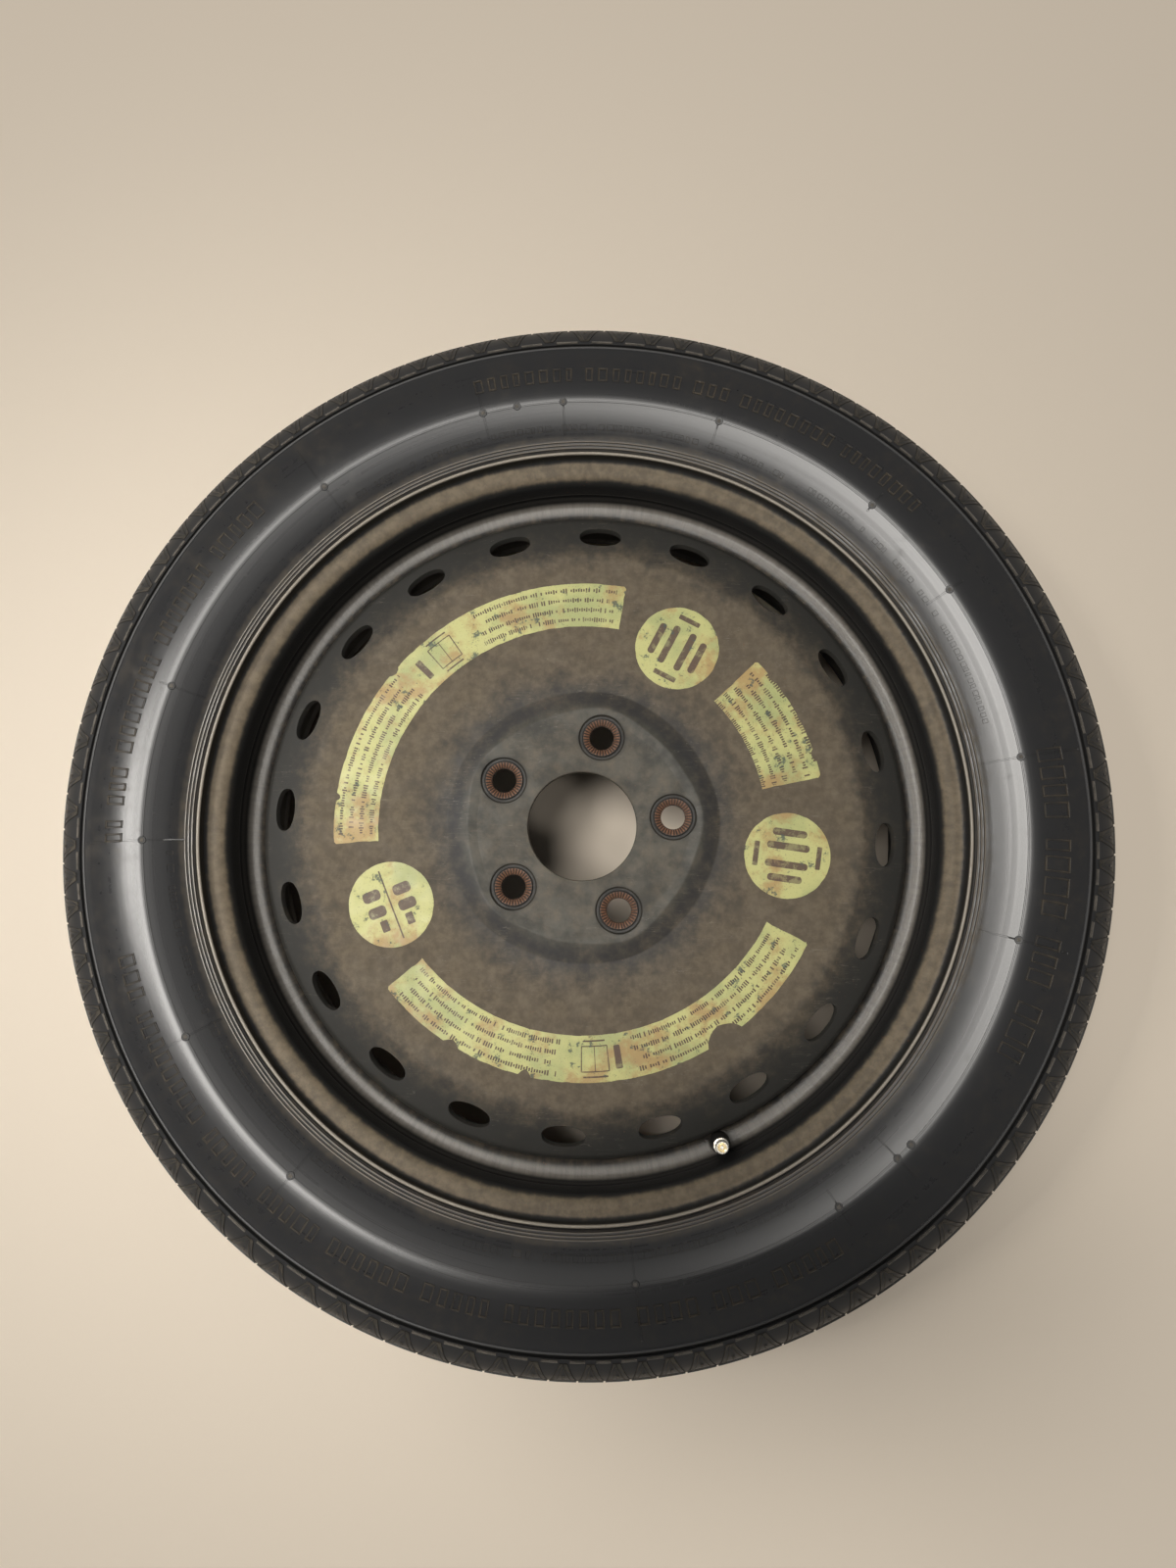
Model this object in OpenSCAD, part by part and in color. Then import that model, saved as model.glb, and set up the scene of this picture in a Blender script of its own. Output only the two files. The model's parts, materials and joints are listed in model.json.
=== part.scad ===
// Temporary spare wheel: a narrow tubeless tyre on a pressed steel wheel, with a snap-in valve.
// The wheel axis is Z, the outer face looks along +Z, and the origin is the centre of the rim's width.
// All sizes are in millimetres.

/* [Tyre] */
// Outside diameter of the inflated tyre
tyre_od = 648.8; // [620:0.2:680]
// Width from sidewall to sidewall
section_w = 155; // [150:0.5:165]
// Width of the tread between the shoulder edges
tread_w = 103; // [90:0.5:110]
// How much lower the tread edge is than its middle
crown_drop = 3; // [1:0.5:6]
// Rubber and plies under the tread
tread_t = 12.5; // [10:0.5:16]
// Sidewall thickness at its widest place
sidewall_t = 6.5; // [4:0.5:9]
// Depth of the tread grooves
groove_d = 5.5; // [3:0.5:7]
// Width of the tread grooves
groove_w = 6.5; // [4:0.5:9]
// Distance between the two middle grooves
groove_in = 26; // [20:0.5:34]
// Distance between the two outer grooves
groove_out = 70; // [60:0.5:78]
// Number of shoulder blocks round the tyre
blocks = 104; // [52:2:120]
// Width of the slot between two shoulder blocks
slot_w = 3.4; // [2:0.2:6]
// Depth of the slot between two shoulder blocks
slot_d = 4; // [2:0.5:6]
// Length of the pocket between two slots, up the shoulder
pocket_l = 12; // [6:0.5:14]
// Width of the pocket at its outer end
pocket_w = 9.6; // [5:0.2:11]
// Depth of the pocket
pocket_d = 1.2; // [0.5:0.1:2]
// Height of the shoulder, from the raised line to the tread edge
shoulder_h = 23.4; // [20:0.2:26]
// Height of the mould parting line above the rim flange
mould_h = 27.6; // [24:0.2:32]
// Height of the raised lines on the sidewall
line_h = 0.7; // [0.3:0.1:1.2]
// Width of the bead where it sits on the rim
bead_w = 15; // [12:0.5:18]

/* [Rim] */
// Rim width between the flanges
rim_w = 114.3; // [110:0.1:118]
// Diameter at the bead seat
seat_d = 436.6; // [435:0.2:438]
// Height of the flange above the bead seat
flange_h = 14.1; // [13:0.1:16]
// Radius of the rolled flange edge
curl_r = 7.5; // [6:0.1:8]
// How far the rolled edge turns past the top of the flange
curl_a = 35; // [20:1:50]
// Sheet thickness of the rim
rim_t = 2.4; // [2:0.1:2.8]
// Radius between bead seat and flange
heel_r = 6.5; // [5.5:0.1:7]
// Taper of the bead seat
seat_a = 5; // [4:0.5:6]
// Height of the safety hump
hump_h = 1; // [0.6:0.1:1.4]
// How far the inside of the drop centre lies within the bead seat
well_drop = 17.1; // [16:0.1:18]
// Where the drop centre starts, counted from the wheel centre
well_front = 25; // [22:0.5:27]
// Where the drop centre ends, counted from the wheel centre
well_rear = -14; // [-20:0.5:-8]
// Tilt of the front side of the drop centre
flank_a = 6; // [3:0.5:9]

/* [Wheel disc] */
// Distance of the mounting face from the wheel centre
offset_et = 44.4; // [42:0.1:46]
// Sheet thickness of the disc
disc_t = 4.2; // [3.5:0.1:5]
// Diameter of the centre bore
bore_d = 66.6; // [57:0.1:72]
// Diameter of the bolt circle
bolt_pcd = 112; // [108:0.1:114.3]
// Diameter of a bolt hole
bolt_hole_d = 14.8; // [14:0.1:15.4]
// Outside diameter of a bolt seat
seat_ring_d = 22.6; // [21:0.1:24]
// Depth of a bolt seat
seat_depth = 1.8; // [1:0.1:2.4]
// Outside diameter of the groove round a bolt seat
moat_d = 28.4; // [26:0.1:30]
// Depth of the groove round a bolt seat
moat_depth = 1; // [0.5:0.1:1.5]
// Radius of the raised hub plate
hub_r = 70.5; // [68:0.5:72]
// Height of the hub plate above the flat ring
hub_step = 2.6; // [1.5:0.1:3.5]
// Height of the rounded edge of the hub plate
hub_rim_h = 0.8; // [0.3:0.1:1.2]
// Reach of a corner of the hub plate past its bolt hole
corner_r = 17.5; // [16:0.5:19]
// Width of the sloping band with the vent holes
band_w = 30.2; // [28:0.2:34]
// Slope of the vented band
vent_a = 19; // [15:0.5:24]
// Number of vent holes
vents = 20; // [10:1:24]
// Length of a vent hole round the disc
vent_l = 26.5; // [20:0.5:30]
// Width of a vent hole
vent_w = 13.5; // [10:0.5:15]
// Distance of the vent holes from the turned edge
vent_in = 14.7; // [14:0.1:16]
// Length of the turned edge inside the rim
edge_l = 22; // [16:0.5:26]
// Radius of the bend at the turned edge
edge_r = 6; // [5:0.5:8]
// Number of weld beads
weld_n = 8; // [4:1:12]
// Angle that one weld bead covers
weld_a = 26; // [15:1:28]
// Leg of a weld bead
weld_leg = 3.6; // [3:0.1:4]

/* [Labels] */
// Thickness of a label
film_t = 0.2; // [0.1:0.05:0.4]
// Diameter of a round label
round_d = 52.5; // [48:0.5:54]
// Distance of the round labels from the middle of the flat ring, inwards
round_shift = 0.8; // [-4:0.1:4]
// Width of the long curved labels
arc_w = 28; // [24:0.5:32]
// Distance of the long curved labels from the middle of the flat ring, outwards
arc_shift = 12.8; // [8:0.1:16]
// Width of the short curved label
short_w = 37; // [30:0.5:42]
// Distance of the short curved label from the middle of the flat ring, outwards
short_shift = 4.3; // [0:0.1:8]

/* [Valve] */
// Diameter of the hole in the rim
valve_hole_d = 11.3; // [11:0.1:11.5]
// Distance of the valve from the inside of the drop centre
valve_step = 7.5; // [7.3:0.1:7.7]
// Lean of the valve towards the wheel axis
valve_lean = 6; // [5:0.5:7]
// Height of the valve above the rim
valve_h = 33.5; // [30:0.5:38]
// Outside diameter of the cap thread
thread_d = 7.7; // [7.4:0.1:8]
// Length of the cap thread
thread_l = 9; // [7:0.5:10]
// Diameter of the metal collar under the thread
collar_d = 9.6; // [9:0.1:10]
// Bore at the mouth of the stem
mouth_d = 5.4; // [5.2:0.1:5.6]
// Bore in the lower part of the stem
stem_bore_d = 4.2; // [4:0.1:4.4]
// Diameter of the core pin
pin_d = 1.8; // [1.6:0.1:2]
// How far the core pin travels when it is pressed
pin_travel = 1.6; // [1:0.1:2]

/* [Hidden] */

// Clearances
bead_gap = 0.3;
press_gap = 0.05;
seat_gap = 0.1;
run_gap = 0.06;
touch_gap = 0.02;
cut_over = 1;

// Angles of what stands round the wheel, counted from +X towards +Y
bolt_n = 5;
bolt_from = 5.5;
vent_from = 14.5;
weld_from = 5.5;
valve_at = -66.5;
round_top_at = 62;
round_right_at = -8.3;
round_left_at = -157.8;
arc_left_at = 79.5;
arc_left_a = 104.5;
arc_bottom_at = -140.5;
arc_bottom_a = 113;
arc_right_at = 11.5;
arc_right_a = 32;

// Colours
rubber_black = [0.09, 0.09, 0.09];
paint_black = [0.13, 0.12, 0.11];
disc_brown = [0.24, 0.21, 0.18];
weld_grey = [0.3, 0.28, 0.26];
film_yellow = [0.68, 0.68, 0.36];
brass = [0.72, 0.62, 0.4];
steel = [0.75, 0.74, 0.7];
seal_red = [0.6, 0.16, 0.12];

// Curves
corner_steps = 8;
curve_steps = 10;
round_fn = 48;

function unit(v) = v / norm(v);
function left_of(v) = [-v.y, v.x];
function turn(u, v) = u.x * v.y - u.y * v.x;
function along(c, r, a) = c + r * [cos(a), sin(a)];

// A corner b between a and c, rounded to radius r
function round_corner(a, b, c, r) =
    let (u = unit(a - b), v = unit(c - b))
    let (half = acos(u * v) / 2)
    let (o = b + unit(u + v) * r / sin(half))
    let (s = b + u * r / tan(half) - o, e = b + v * r / tan(half) - o)
    let (from = atan2(s.y, s.x), sweep = atan2(turn(s, e), s * e))
    [for (i = [0 : corner_steps]) along(o, r, from + sweep * i / corner_steps)];

// A path of points p whose inner corners have the radii r
function rounded(p, r) = concat(
    [p[0]],
    [for (i = [1 : len(p) - 2]) each r[i] > 0 ? round_corner(p[i - 1], p[i], p[i + 1], r[i]) : [p[i]]],
    [p[len(p) - 1]]);

// A path moved sideways by d, to its left
function shifted(p, d) = [for (i = [0 : len(p) - 1])
    let (before = i > 0 ? unit(p[i] - p[i - 1]) : unit(p[1] - p[0]))
    let (after = i < len(p) - 1 ? unit(p[i + 1] - p[i]) : before)
    let (m = left_of(before) + left_of(after))
    p[i] + m * 2 * d / (m * m)];

// The corner radii of a path moved to its left by d
function shifted_radii(p, r, d) = [for (i = [0 : len(p) - 1])
    i == 0 || i == len(p) - 1 || r[i] == 0 ? 0 :
    r[i] - d * sign(turn(p[i] - p[i - 1], p[i + 1] - p[i]))];

// The section of a sheet that lies to the left of a path
function sheet(p, r, t) = concat(
    rounded(p, r),
    reverse(rounded(shifted(p, t), shifted_radii(p, r, t))));

function reverse(p) = [for (i = [len(p) - 1 : -1 : 0]) p[i]];
function mirrored(p) = [for (q = reverse(p)) [q.x, -q.y]];

// A smooth curve with two end points and two points that pull it
function curve(a, b, c, d) = [for (i = [0 : curve_steps])
    let (t = i / curve_steps, s = 1 - t)
    s * s * s * a + 3 * s * s * t * b + 3 * s * t * t * c + t * t * t * d];

// Rim profile: points are [radius, height], on the side of the tyre
seat_r = seat_d / 2;
flange_z = rim_w / 2;
curl_c = [seat_r + flange_h - curl_r, flange_z + curl_r];
curl_sweep = 90 + curl_a;
curl_reach = curl_r / cos(curl_sweep / 4);
seat_l = 16;
hump_l = 6;
ledge_rise = 0.4;
ledge_r = seat_r - seat_l * tan(seat_a) + ledge_rise;
well_r = seat_r - well_drop;
well_out_r = well_r + rim_t;
flank_low = [well_out_r, well_front - rim_t];
flank_top = [ledge_r, flank_low.y + (ledge_r - well_out_r) * tan(flank_a)];
well_corner_r = 3.6;
ledge_corner_r = 6;
rear_slope = 12;

function flange(z) = [
    along(curl_c, curl_r, curl_a),
    along(curl_c, curl_reach, curl_a - curl_sweep / 4),
    along(curl_c, curl_reach, curl_a - curl_sweep * 3 / 4),
    [seat_r, flange_z],
    [seat_r - seat_l * tan(seat_a), flange_z - seat_l],
    [ledge_r + hump_h, flange_z - seat_l - hump_l / 2],
    [ledge_r, flange_z - seat_l - hump_l]];
hump_r = 4;
flange_radii = [0, curl_r, curl_r, heel_r, hump_r, hump_r, hump_r];

rim_path = concat(
    flange(flange_z),
    [flank_top, flank_low, [well_out_r, well_rear], [ledge_r, well_rear - rear_slope]],
    mirrored(flange(flange_z)));
rim_radii = concat(
    flange_radii,
    [ledge_corner_r, well_corner_r, well_corner_r, ledge_corner_r],
    reverse(flange_radii));

// Disc profile: points are [radius, height], on the outer face
hub_z = offset_et + disc_t;
ring_z = hub_z - hub_step;
ring_r = well_r - band_w;
edge_out = well_r - press_gap;
edge_z = ring_z - (edge_out - ring_r) * tan(vent_a);
edge_end_z = edge_z - edge_l - edge_r;
vent_r = well_r - vent_in;
hub_slope = 13;
hub_land = 6;
hub_bend_r = 6;
hub_top_r = 5.5;
hub_foot_r = 8;
ring_bend_r = 14;
disc_path = [
    [bore_d / 2, hub_z],
    [hub_r - hub_land, hub_z],
    [hub_r, hub_z + hub_rim_h],
    [hub_r + hub_slope, ring_z],
    [ring_r, ring_z],
    [edge_out, edge_z],
    [edge_out, edge_end_z]];
disc_radii = [0, hub_bend_r, hub_top_r, hub_foot_r, ring_bend_r, edge_r, 0];
corner_flare = 2.4;
seat_land = 0.3;
weld_hollow = [0.45, 0.62];

// The labels stand on the flat ring
ring_mid = (hub_r + hub_slope + ring_r) / 2;
round_r = ring_mid - round_shift;
arc_in = ring_mid + arc_shift - arc_w / 2;
short_in = ring_mid + short_shift - short_w / 2;

// Tyre profile: points are [radius, height]
tread_r = tyre_od / 2;
half_tread = tread_w / 2;
half_w = section_w / 2;
slot_reach = 14;
groove_taper = 0.8;
function crown(z) = tread_r - crown_drop * pow(z / half_tread, 2);
function across(z) = [crown(z), z];
function groove(z) = [
    across(z + groove_w / 2),
    across(z + groove_w / 2 - groove_taper) - [groove_d, 0],
    across(z - groove_w / 2 + groove_taper) - [groove_d, 0],
    across(z - groove_w / 2)];

// Where the rubber leaves the rolled edge of the rim, and three fine ribs above it
cushion_gap = 1;
cushion_rise = 2.2;
cushion = [curl_c.x + curl_r + cushion_gap, curl_c.y + cushion_rise];
rib_n = 3;
rib_step = [2, 0.25];
rib_w = 0.5;
line_slope = 0.4;
wall_low = cushion + rib_step * rib_n;

// Heights of the raised lines below the widest part of the sidewall
mould_drop = 2.4;
shoulder_drop = 6.4;
line_w = 0.8;
mould_p = [curl_c.x + curl_r + mould_h, half_w - mould_drop];
shoulder_p = [crown(half_tread) - shoulder_h, half_w - shoulder_drop];
gutter = [1.2, -2.4];
gutter_w = 2.2;
gutter_fall = 0.9;
shoulder_low = shoulder_p + gutter + [gutter_w + line_w, line_slope - gutter_fall];

// Each pull is the way from an end of a curve to the point that draws it
low_pull = [6, 1.4];
mould_pull = [8, 2];
bulge_pull = [6.2, 2.4];
shoulder_pull = [-16, 8.4];
tread_pull = [-3.2, 9.2];
toe_gap = [3, -0.6];
lining_pull = [14, 4];

bead_path = shifted(flange(flange_z), bead_gap);
bead_radii = shifted_radii(flange(flange_z), flange_radii, bead_gap);
bead_toe = [seat_r - (bead_w + cushion_gap) * tan(seat_a) + bead_gap, flange_z - bead_w];
bead_face = [for (q = rounded(bead_path, bead_radii))
    if (q.y > flange_z - bead_w && q.y < cushion.y - line_slope) q];
ribs = [for (i = [0 : rib_n - 1]) each
    let (p = cushion + rib_step * i)
    [p, p + [line_slope, line_h], p + [line_slope + rib_w, line_h], p + [line_slope * 2 + rib_w, 0]]];
lower_wall = curve(
    wall_low,
    wall_low + low_pull,
    mould_p - [line_slope * 2, line_slope] - mould_pull,
    mould_p - [line_slope * 2, line_slope]);
mould_line = [mould_p + [0, line_h], mould_p + [line_w, line_h]];
upper_wall = curve(
    mould_p + [line_w + line_slope * 2, line_slope],
    mould_p + [line_w + line_slope * 2, line_slope] + bulge_pull,
    shoulder_p + shoulder_pull,
    shoulder_p - [line_slope * 2, 0]);
shoulder_line = [
    shoulder_p + [0, line_h],
    shoulder_p + [line_w, line_h - line_slope],
    shoulder_p + gutter,
    shoulder_p + gutter + [gutter_w, -gutter_fall]];
shoulder = curve(
    shoulder_low,
    shoulder_low + [mould_pull.x, -mould_pull.y * 2],
    across(half_tread) + tread_pull,
    across(half_tread));
front_outside = concat(
    [bead_toe], reverse(bead_face), ribs, lower_wall, mould_line, upper_wall, shoulder_line, shoulder,
    groove(groove_out / 2), groove(groove_in / 2));
wall_mid = mould_p + [mould_pull.x, mould_drop - sidewall_t];
front_inside = concat(
    curve(
        bead_toe + toe_gap,
        bead_toe + toe_gap + lining_pull * 1.5,
        wall_mid - [lining_pull.x, lining_pull.y / 2],
        wall_mid),
    curve(
        wall_mid + [line_slope, 0],
        wall_mid + [lining_pull.x * 1.5, 0],
        across(half_tread) + [-tread_t, -tread_pull.x * 2],
        across(half_tread) - [tread_t, tread_pull.y + line_w]));

module turned(section) {
    rotate_extrude($fn = 180)
        polygon(section);
}

module tyre() {
    color(rubber_black)
        difference() {
            turned(concat(
                front_outside, mirrored(front_outside),
                reverse(mirrored(front_inside)), reverse(front_inside)));
            for (i = [0 : blocks - 1], side = [0, 1])
                mirror([0, 0, side])
                    rotate([0, 0, (i + side / 2) * 360 / blocks]) {
                        shoulder_slot();
                        rotate([0, 0, 180 / blocks])
                            shoulder_pocket();
                    }
        }
}

// A shallow pocket between two slots, pointed towards the rim
module shoulder_pocket() {
    middle = shoulder[curve_steps / 2];
    way = shoulder[curve_steps / 2 + 1] - shoulder[curve_steps / 2 - 1];
    translate([middle.x, 0, middle.y])
        rotate([0, atan2(-way.y, way.x), 0])
            translate([0, 0, -pocket_d])
                linear_extrude(pocket_l)
                    polygon([
                        [-pocket_l / 2, 0],
                        [0, -pocket_w / 3],
                        [pocket_l / 2, -pocket_w / 2],
                        [pocket_l / 2, pocket_w / 2],
                        [0, pocket_w / 3]]);
}

// One slot across the tread edge, open at the shoulder
module shoulder_slot() {
    slot_from = groove_out / 2 + groove_w;
    translate([crown(half_tread) - slot_d, -slot_w / 2, slot_from])
        cube([slot_d + crown_drop + cut_over * 2, slot_w, slot_reach + half_tread - slot_from]);
}

module rim() {
    color(paint_black)
        difference() {
            turned(sheet(rim_path, rim_radii, -rim_t));
            at_valve()
                valve_hole_cut();
        }
}

// The frame of the valve: origin where it leaves the rim, +Z out of the wheel
module at_valve() {
    rotate([0, 0, valve_at])
        translate([valve_r, 0, valve_z])
            rotate([0, -valve_lean, 0])
                children();
}

module wheel_disc() {
    color(disc_brown)
        difference() {
            union() {
                turned(sheet(disc_path, disc_radii, -disc_t));
                hub_corners();
            }
            bolt_seats();
            vent_holes();
            translate([0, 0, offset_et - cut_over])
                cylinder(d = bore_d, h = disc_t + hub_rim_h + cut_over * 2, $fn = round_fn * 2);
        }
}

// Five rounded corners that carry the bolt seats
module hub_corners() {
    for (i = [0 : bolt_n - 1])
        rotate([0, 0, bolt_from + i * 360 / bolt_n])
            translate([bolt_pcd / 2, 0, ring_z - cut_over])
                cylinder(
                    r1 = corner_r + hub_step * corner_flare,
                    r2 = corner_r,
                    h = hub_step + cut_over,
                    $fn = round_fn * 2);
}

// Bolt holes with a conical seat and the groove round it
module bolt_seats() {
    for (i = [0 : bolt_n - 1])
        rotate([0, 0, bolt_from + i * 360 / bolt_n])
            translate([bolt_pcd / 2, 0, hub_z]) {
                translate([0, 0, -disc_t - cut_over])
                    cylinder(d = bolt_hole_d, h = disc_t + cut_over * 3, $fn = round_fn);
                translate([0, 0, -seat_depth])
                    cylinder(d1 = bolt_hole_d, d2 = seat_ring_d, h = seat_depth, $fn = round_fn);
                difference() {
                    translate([0, 0, -moat_depth])
                        cylinder(d = moat_d, h = moat_depth + cut_over * 2, $fn = round_fn);
                    translate([0, 0, -moat_depth - cut_over])
                        cylinder(r = seat_ring_d / 2 + seat_land, h = moat_depth + cut_over, $fn = round_fn);
                }
            }
}

module vent_holes() {
    for (i = [0 : vents - 1])
        rotate([0, 0, vent_from + i * 360 / vents])
            translate([vent_r, 0, ring_z - (vent_r - ring_r) * tan(vent_a)])
                rotate([0, vent_a, 0])
                    translate([0, 0, -disc_t * 2])
                        linear_extrude(disc_t * 4)
                            slot_shape(vent_l, vent_w);
}

// A slot with round ends, long along Y
module slot_shape(l, w) {
    square([w, l - w], center = true);
    for (s = [-1, 1])
        translate([0, s * (l - w) / 2])
            circle(d = w, $fn = round_fn);
}

// Fillet welds between the turned edge of the disc and the inside of the rim
module weld_beads() {
    bead = [
        [edge_out - weld_leg, edge_end_z - seat_gap],
        [edge_out, edge_end_z - seat_gap],
        [edge_out, edge_end_z - seat_gap - weld_leg],
        [edge_out, edge_end_z - seat_gap] - weld_leg * weld_hollow];
    color(weld_grey)
        for (i = [0 : weld_n - 1])
            rotate([0, 0, weld_from + i * 360 / weld_n - weld_a / 2])
                rotate_extrude(angle = weld_a, $fn = 180)
                    polygon(bead);
}

module arc_label(at, a, inner, w) {
    color(film_yellow)
        translate([0, 0, ring_z])
            rotate([0, 0, at])
                rotate_extrude(angle = a, $fn = 180)
                    translate([inner, 0])
                        square([w, film_t]);
}

module round_label(at) {
    color(film_yellow)
        rotate([0, 0, at])
            translate([round_r, 0, ring_z])
                cylinder(d = round_d, h = film_t, $fn = round_fn * 2);
}

module arc_label_left() {
    arc_label(arc_left_at, arc_left_a, arc_in, arc_w);
}

module arc_label_bottom() {
    arc_label(arc_bottom_at, arc_bottom_a, arc_in, arc_w);
}

module arc_label_right() {
    arc_label(arc_right_at, arc_right_a, short_in, short_w);
}

module round_label_top() {
    round_label(round_top_at);
}

module round_label_right() {
    round_label(round_right_at);
}

module round_label_left() {
    round_label(round_left_at);
}

// Valve: heights are counted along its own axis from the face of the rim
valve_r = well_r + valve_step;
wall_t = rim_t / cos(flank_a);
valve_z = flank_low.y + wall_t + (valve_r - well_out_r) * tan(flank_a);
hole_r = valve_hole_d / 2;
bulb_over = 0.2;
bulb_gap = 0.3;
bulb_r = hole_r + bulb_over;
bulb_l = 9;
bulb_chamfer = [1.2, 3];
body_steps = [[0.1, seat_gap], [0.4, 3], [0.3, 8], [-0.5, 13]];
lip_out = 0.2;
lip_in = 0.3;
lip_h = 0.8;
foot_l = 0.6;
collar_chamfer = 0.4;
tip_chamfer = 0.5;
thread_from = valve_h - thread_l;
collar_h = 2;
rubber_top = thread_from - collar_h - seat_gap;
stem_r = 3.1;
stem_in = 1;
stem_end = -wall_t - bulb_l + stem_in;
core_drop = 1.4;
core_z = valve_h - core_drop;
plug_l = 4.4;
key_flat = 1.7;
key_l = 1.8;
plug_bore_r = pin_d / 2 + run_gap;
barrel_top = core_z - plug_l - seat_gap;
barrel_r = stem_bore_d / 2 - press_gap;
ledge_t = 0.8;
stop_r = 1.35;
stop_l = 0.6;
stop_z = barrel_top - stop_l * 2;
barrel_bore_r = stop_r + seat_gap;
wire_d = 0.28;
spring_turns = 7;
spring_r = 1.2;
spring_spare = 3.2;
barrel_l = stop_l * 2 + pin_travel + spring_turns * wire_d + spring_spare + ledge_t;
barrel_end = barrel_top - barrel_l;
barrel_chamfer = [0.2, 0.4];
seal_drop = 2;
seal_z = barrel_top - seal_drop;
seal_groove_d = 0.3;
seal_l = 2.4;
cup_l = 2.2;
cup_taper = 0.5;
cup_seal_t = 0.8;
cup_inset = 0.35;
cup_r = barrel_r - cup_inset;
cup_seal_z = barrel_end - touch_gap - cup_seal_t;
cup_z = cup_seal_z - touch_gap - cup_l;
pin_top = core_z + core_drop / 2;
rivet_l = 0.5;
rivet_d = pin_d + rivet_l;
spring_low = barrel_end + ledge_t + wire_d / 2 + touch_gap;
spring_high = stop_z - wire_d / 2 - touch_gap;

module valve_hole_cut() {
    translate([0, 0, -wall_t * 2])
        cylinder(r = hole_r, h = wall_t * 4, $fn = round_fn * 2);
    translate([0, 0, -wall_t - bulb_l - cut_over])
        cylinder(r = bulb_r + bulb_gap, h = bulb_l + cut_over, $fn = round_fn * 2);
}

module valve_rubber() {
    body = [
        [stem_r + press_gap, stem_end],
        [hole_r - bulb_chamfer.x, stem_end],
        [bulb_r, stem_end + bulb_chamfer.y],
        [bulb_r, -wall_t - seat_gap],
        [hole_r - press_gap, -wall_t - seat_gap],
        [hole_r - press_gap, seat_gap],
        each [for (q = body_steps) [hole_r + q.x, q.y]],
        [collar_d / 2 + lip_out, rubber_top - lip_h],
        [collar_d / 2 - lip_in, rubber_top],
        [stem_r + press_gap, rubber_top]];
    color(rubber_black)
        at_valve()
            rotate_extrude($fn = round_fn * 2)
                polygon(body);
}

module valve_stem() {
    wall = [
        [stem_bore_d / 2, stem_end - foot_l],
        [stem_r, stem_end - foot_l],
        [stem_r, rubber_top + seat_gap],
        [collar_d / 2, rubber_top + seat_gap],
        [collar_d / 2, thread_from - collar_chamfer],
        [collar_d / 2 - collar_chamfer, thread_from],
        [thread_d / 2, thread_from],
        [thread_d / 2, valve_h - tip_chamfer],
        [thread_d / 2 - tip_chamfer, valve_h],
        [mouth_d / 2, valve_h],
        [mouth_d / 2, seal_z + seal_l / 2],
        [stem_bore_d / 2, seal_z - seal_l / 2]];
    color(brass)
        at_valve()
            rotate_extrude($fn = round_fn * 2)
                polygon(wall);
}

// Screwed plug with two flats for the key
module core_plug() {
    plug_r = mouth_d / 2 - press_gap;
    color(brass)
        at_valve()
            difference() {
                translate([0, 0, core_z - plug_l])
                    cylinder(r = plug_r, h = plug_l, $fn = round_fn);
                translate([0, 0, core_z - plug_l - cut_over])
                    cylinder(r = plug_bore_r, h = plug_l + cut_over * 2, $fn = round_fn);
                for (s = [0, 180])
                    rotate([0, 0, s])
                        translate([key_flat, -plug_r, core_z - key_l])
                            cube([plug_r, plug_r * 2, key_l + cut_over]);
            }
}

module core_barrel() {
    wall = [
        [plug_bore_r, barrel_end],
        [barrel_r - barrel_chamfer.x, barrel_end],
        [barrel_r, barrel_end + barrel_chamfer.y],
        [barrel_r, seal_z - seal_l / 2 - press_gap],
        [barrel_r - seal_groove_d, seal_z - seal_l / 2 - press_gap],
        [barrel_r - seal_groove_d, seal_z + seal_l / 2 + press_gap],
        [barrel_r, seal_z + seal_l / 2 + press_gap],
        [barrel_r, barrel_top],
        [barrel_bore_r, barrel_top],
        [barrel_bore_r, barrel_end + ledge_t],
        [plug_bore_r, barrel_end + ledge_t]];
    color(brass)
        at_valve()
            rotate_extrude($fn = round_fn)
                polygon(wall);
}

// Soft ring that seals the barrel on the cone inside the stem
module core_barrel_seal() {
    inside = barrel_r - seal_groove_d + touch_gap;
    ring = [
        [inside, seal_z - seal_l / 2],
        [stem_bore_d / 2 - press_gap, seal_z - seal_l / 2],
        [mouth_d / 2 - press_gap, seal_z + seal_l / 2],
        [inside, seal_z + seal_l / 2]];
    color(seal_red)
        at_valve()
            rotate_extrude($fn = round_fn)
                polygon(ring);
}

// Pin with the collar that the spring pushes up
module core_pin() {
    color(steel)
        at_valve() {
            translate([0, 0, cup_z - touch_gap - rivet_l])
                cylinder(d = rivet_d, h = rivet_l, $fn = round_fn);
            translate([0, 0, cup_z - touch_gap - rivet_l])
                cylinder(d = pin_d, h = pin_top - cup_z + touch_gap + rivet_l, $fn = round_fn);
            translate([0, 0, stop_z])
                cylinder(r = stop_r, h = stop_l, $fn = round_fn);
        }
}

// Metal cup on the lower end of the pin
module core_cup() {
    color(brass)
        at_valve()
            translate([0, 0, cup_z])
                difference() {
                    cylinder(r1 = cup_r - cup_taper, r2 = cup_r, h = cup_l, $fn = round_fn);
                    translate([0, 0, -cut_over])
                        cylinder(r = pin_d / 2 + touch_gap, h = cup_l + cut_over * 2, $fn = round_fn);
                }
}

module core_cup_seal() {
    color(seal_red)
        at_valve()
            translate([0, 0, cup_seal_z])
                difference() {
                    cylinder(r = cup_r - press_gap, h = cup_seal_t, $fn = round_fn);
                    translate([0, 0, -cut_over])
                        cylinder(r = pin_d / 2 + touch_gap, h = cup_seal_t + cut_over * 2, $fn = round_fn);
                }
}

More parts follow.
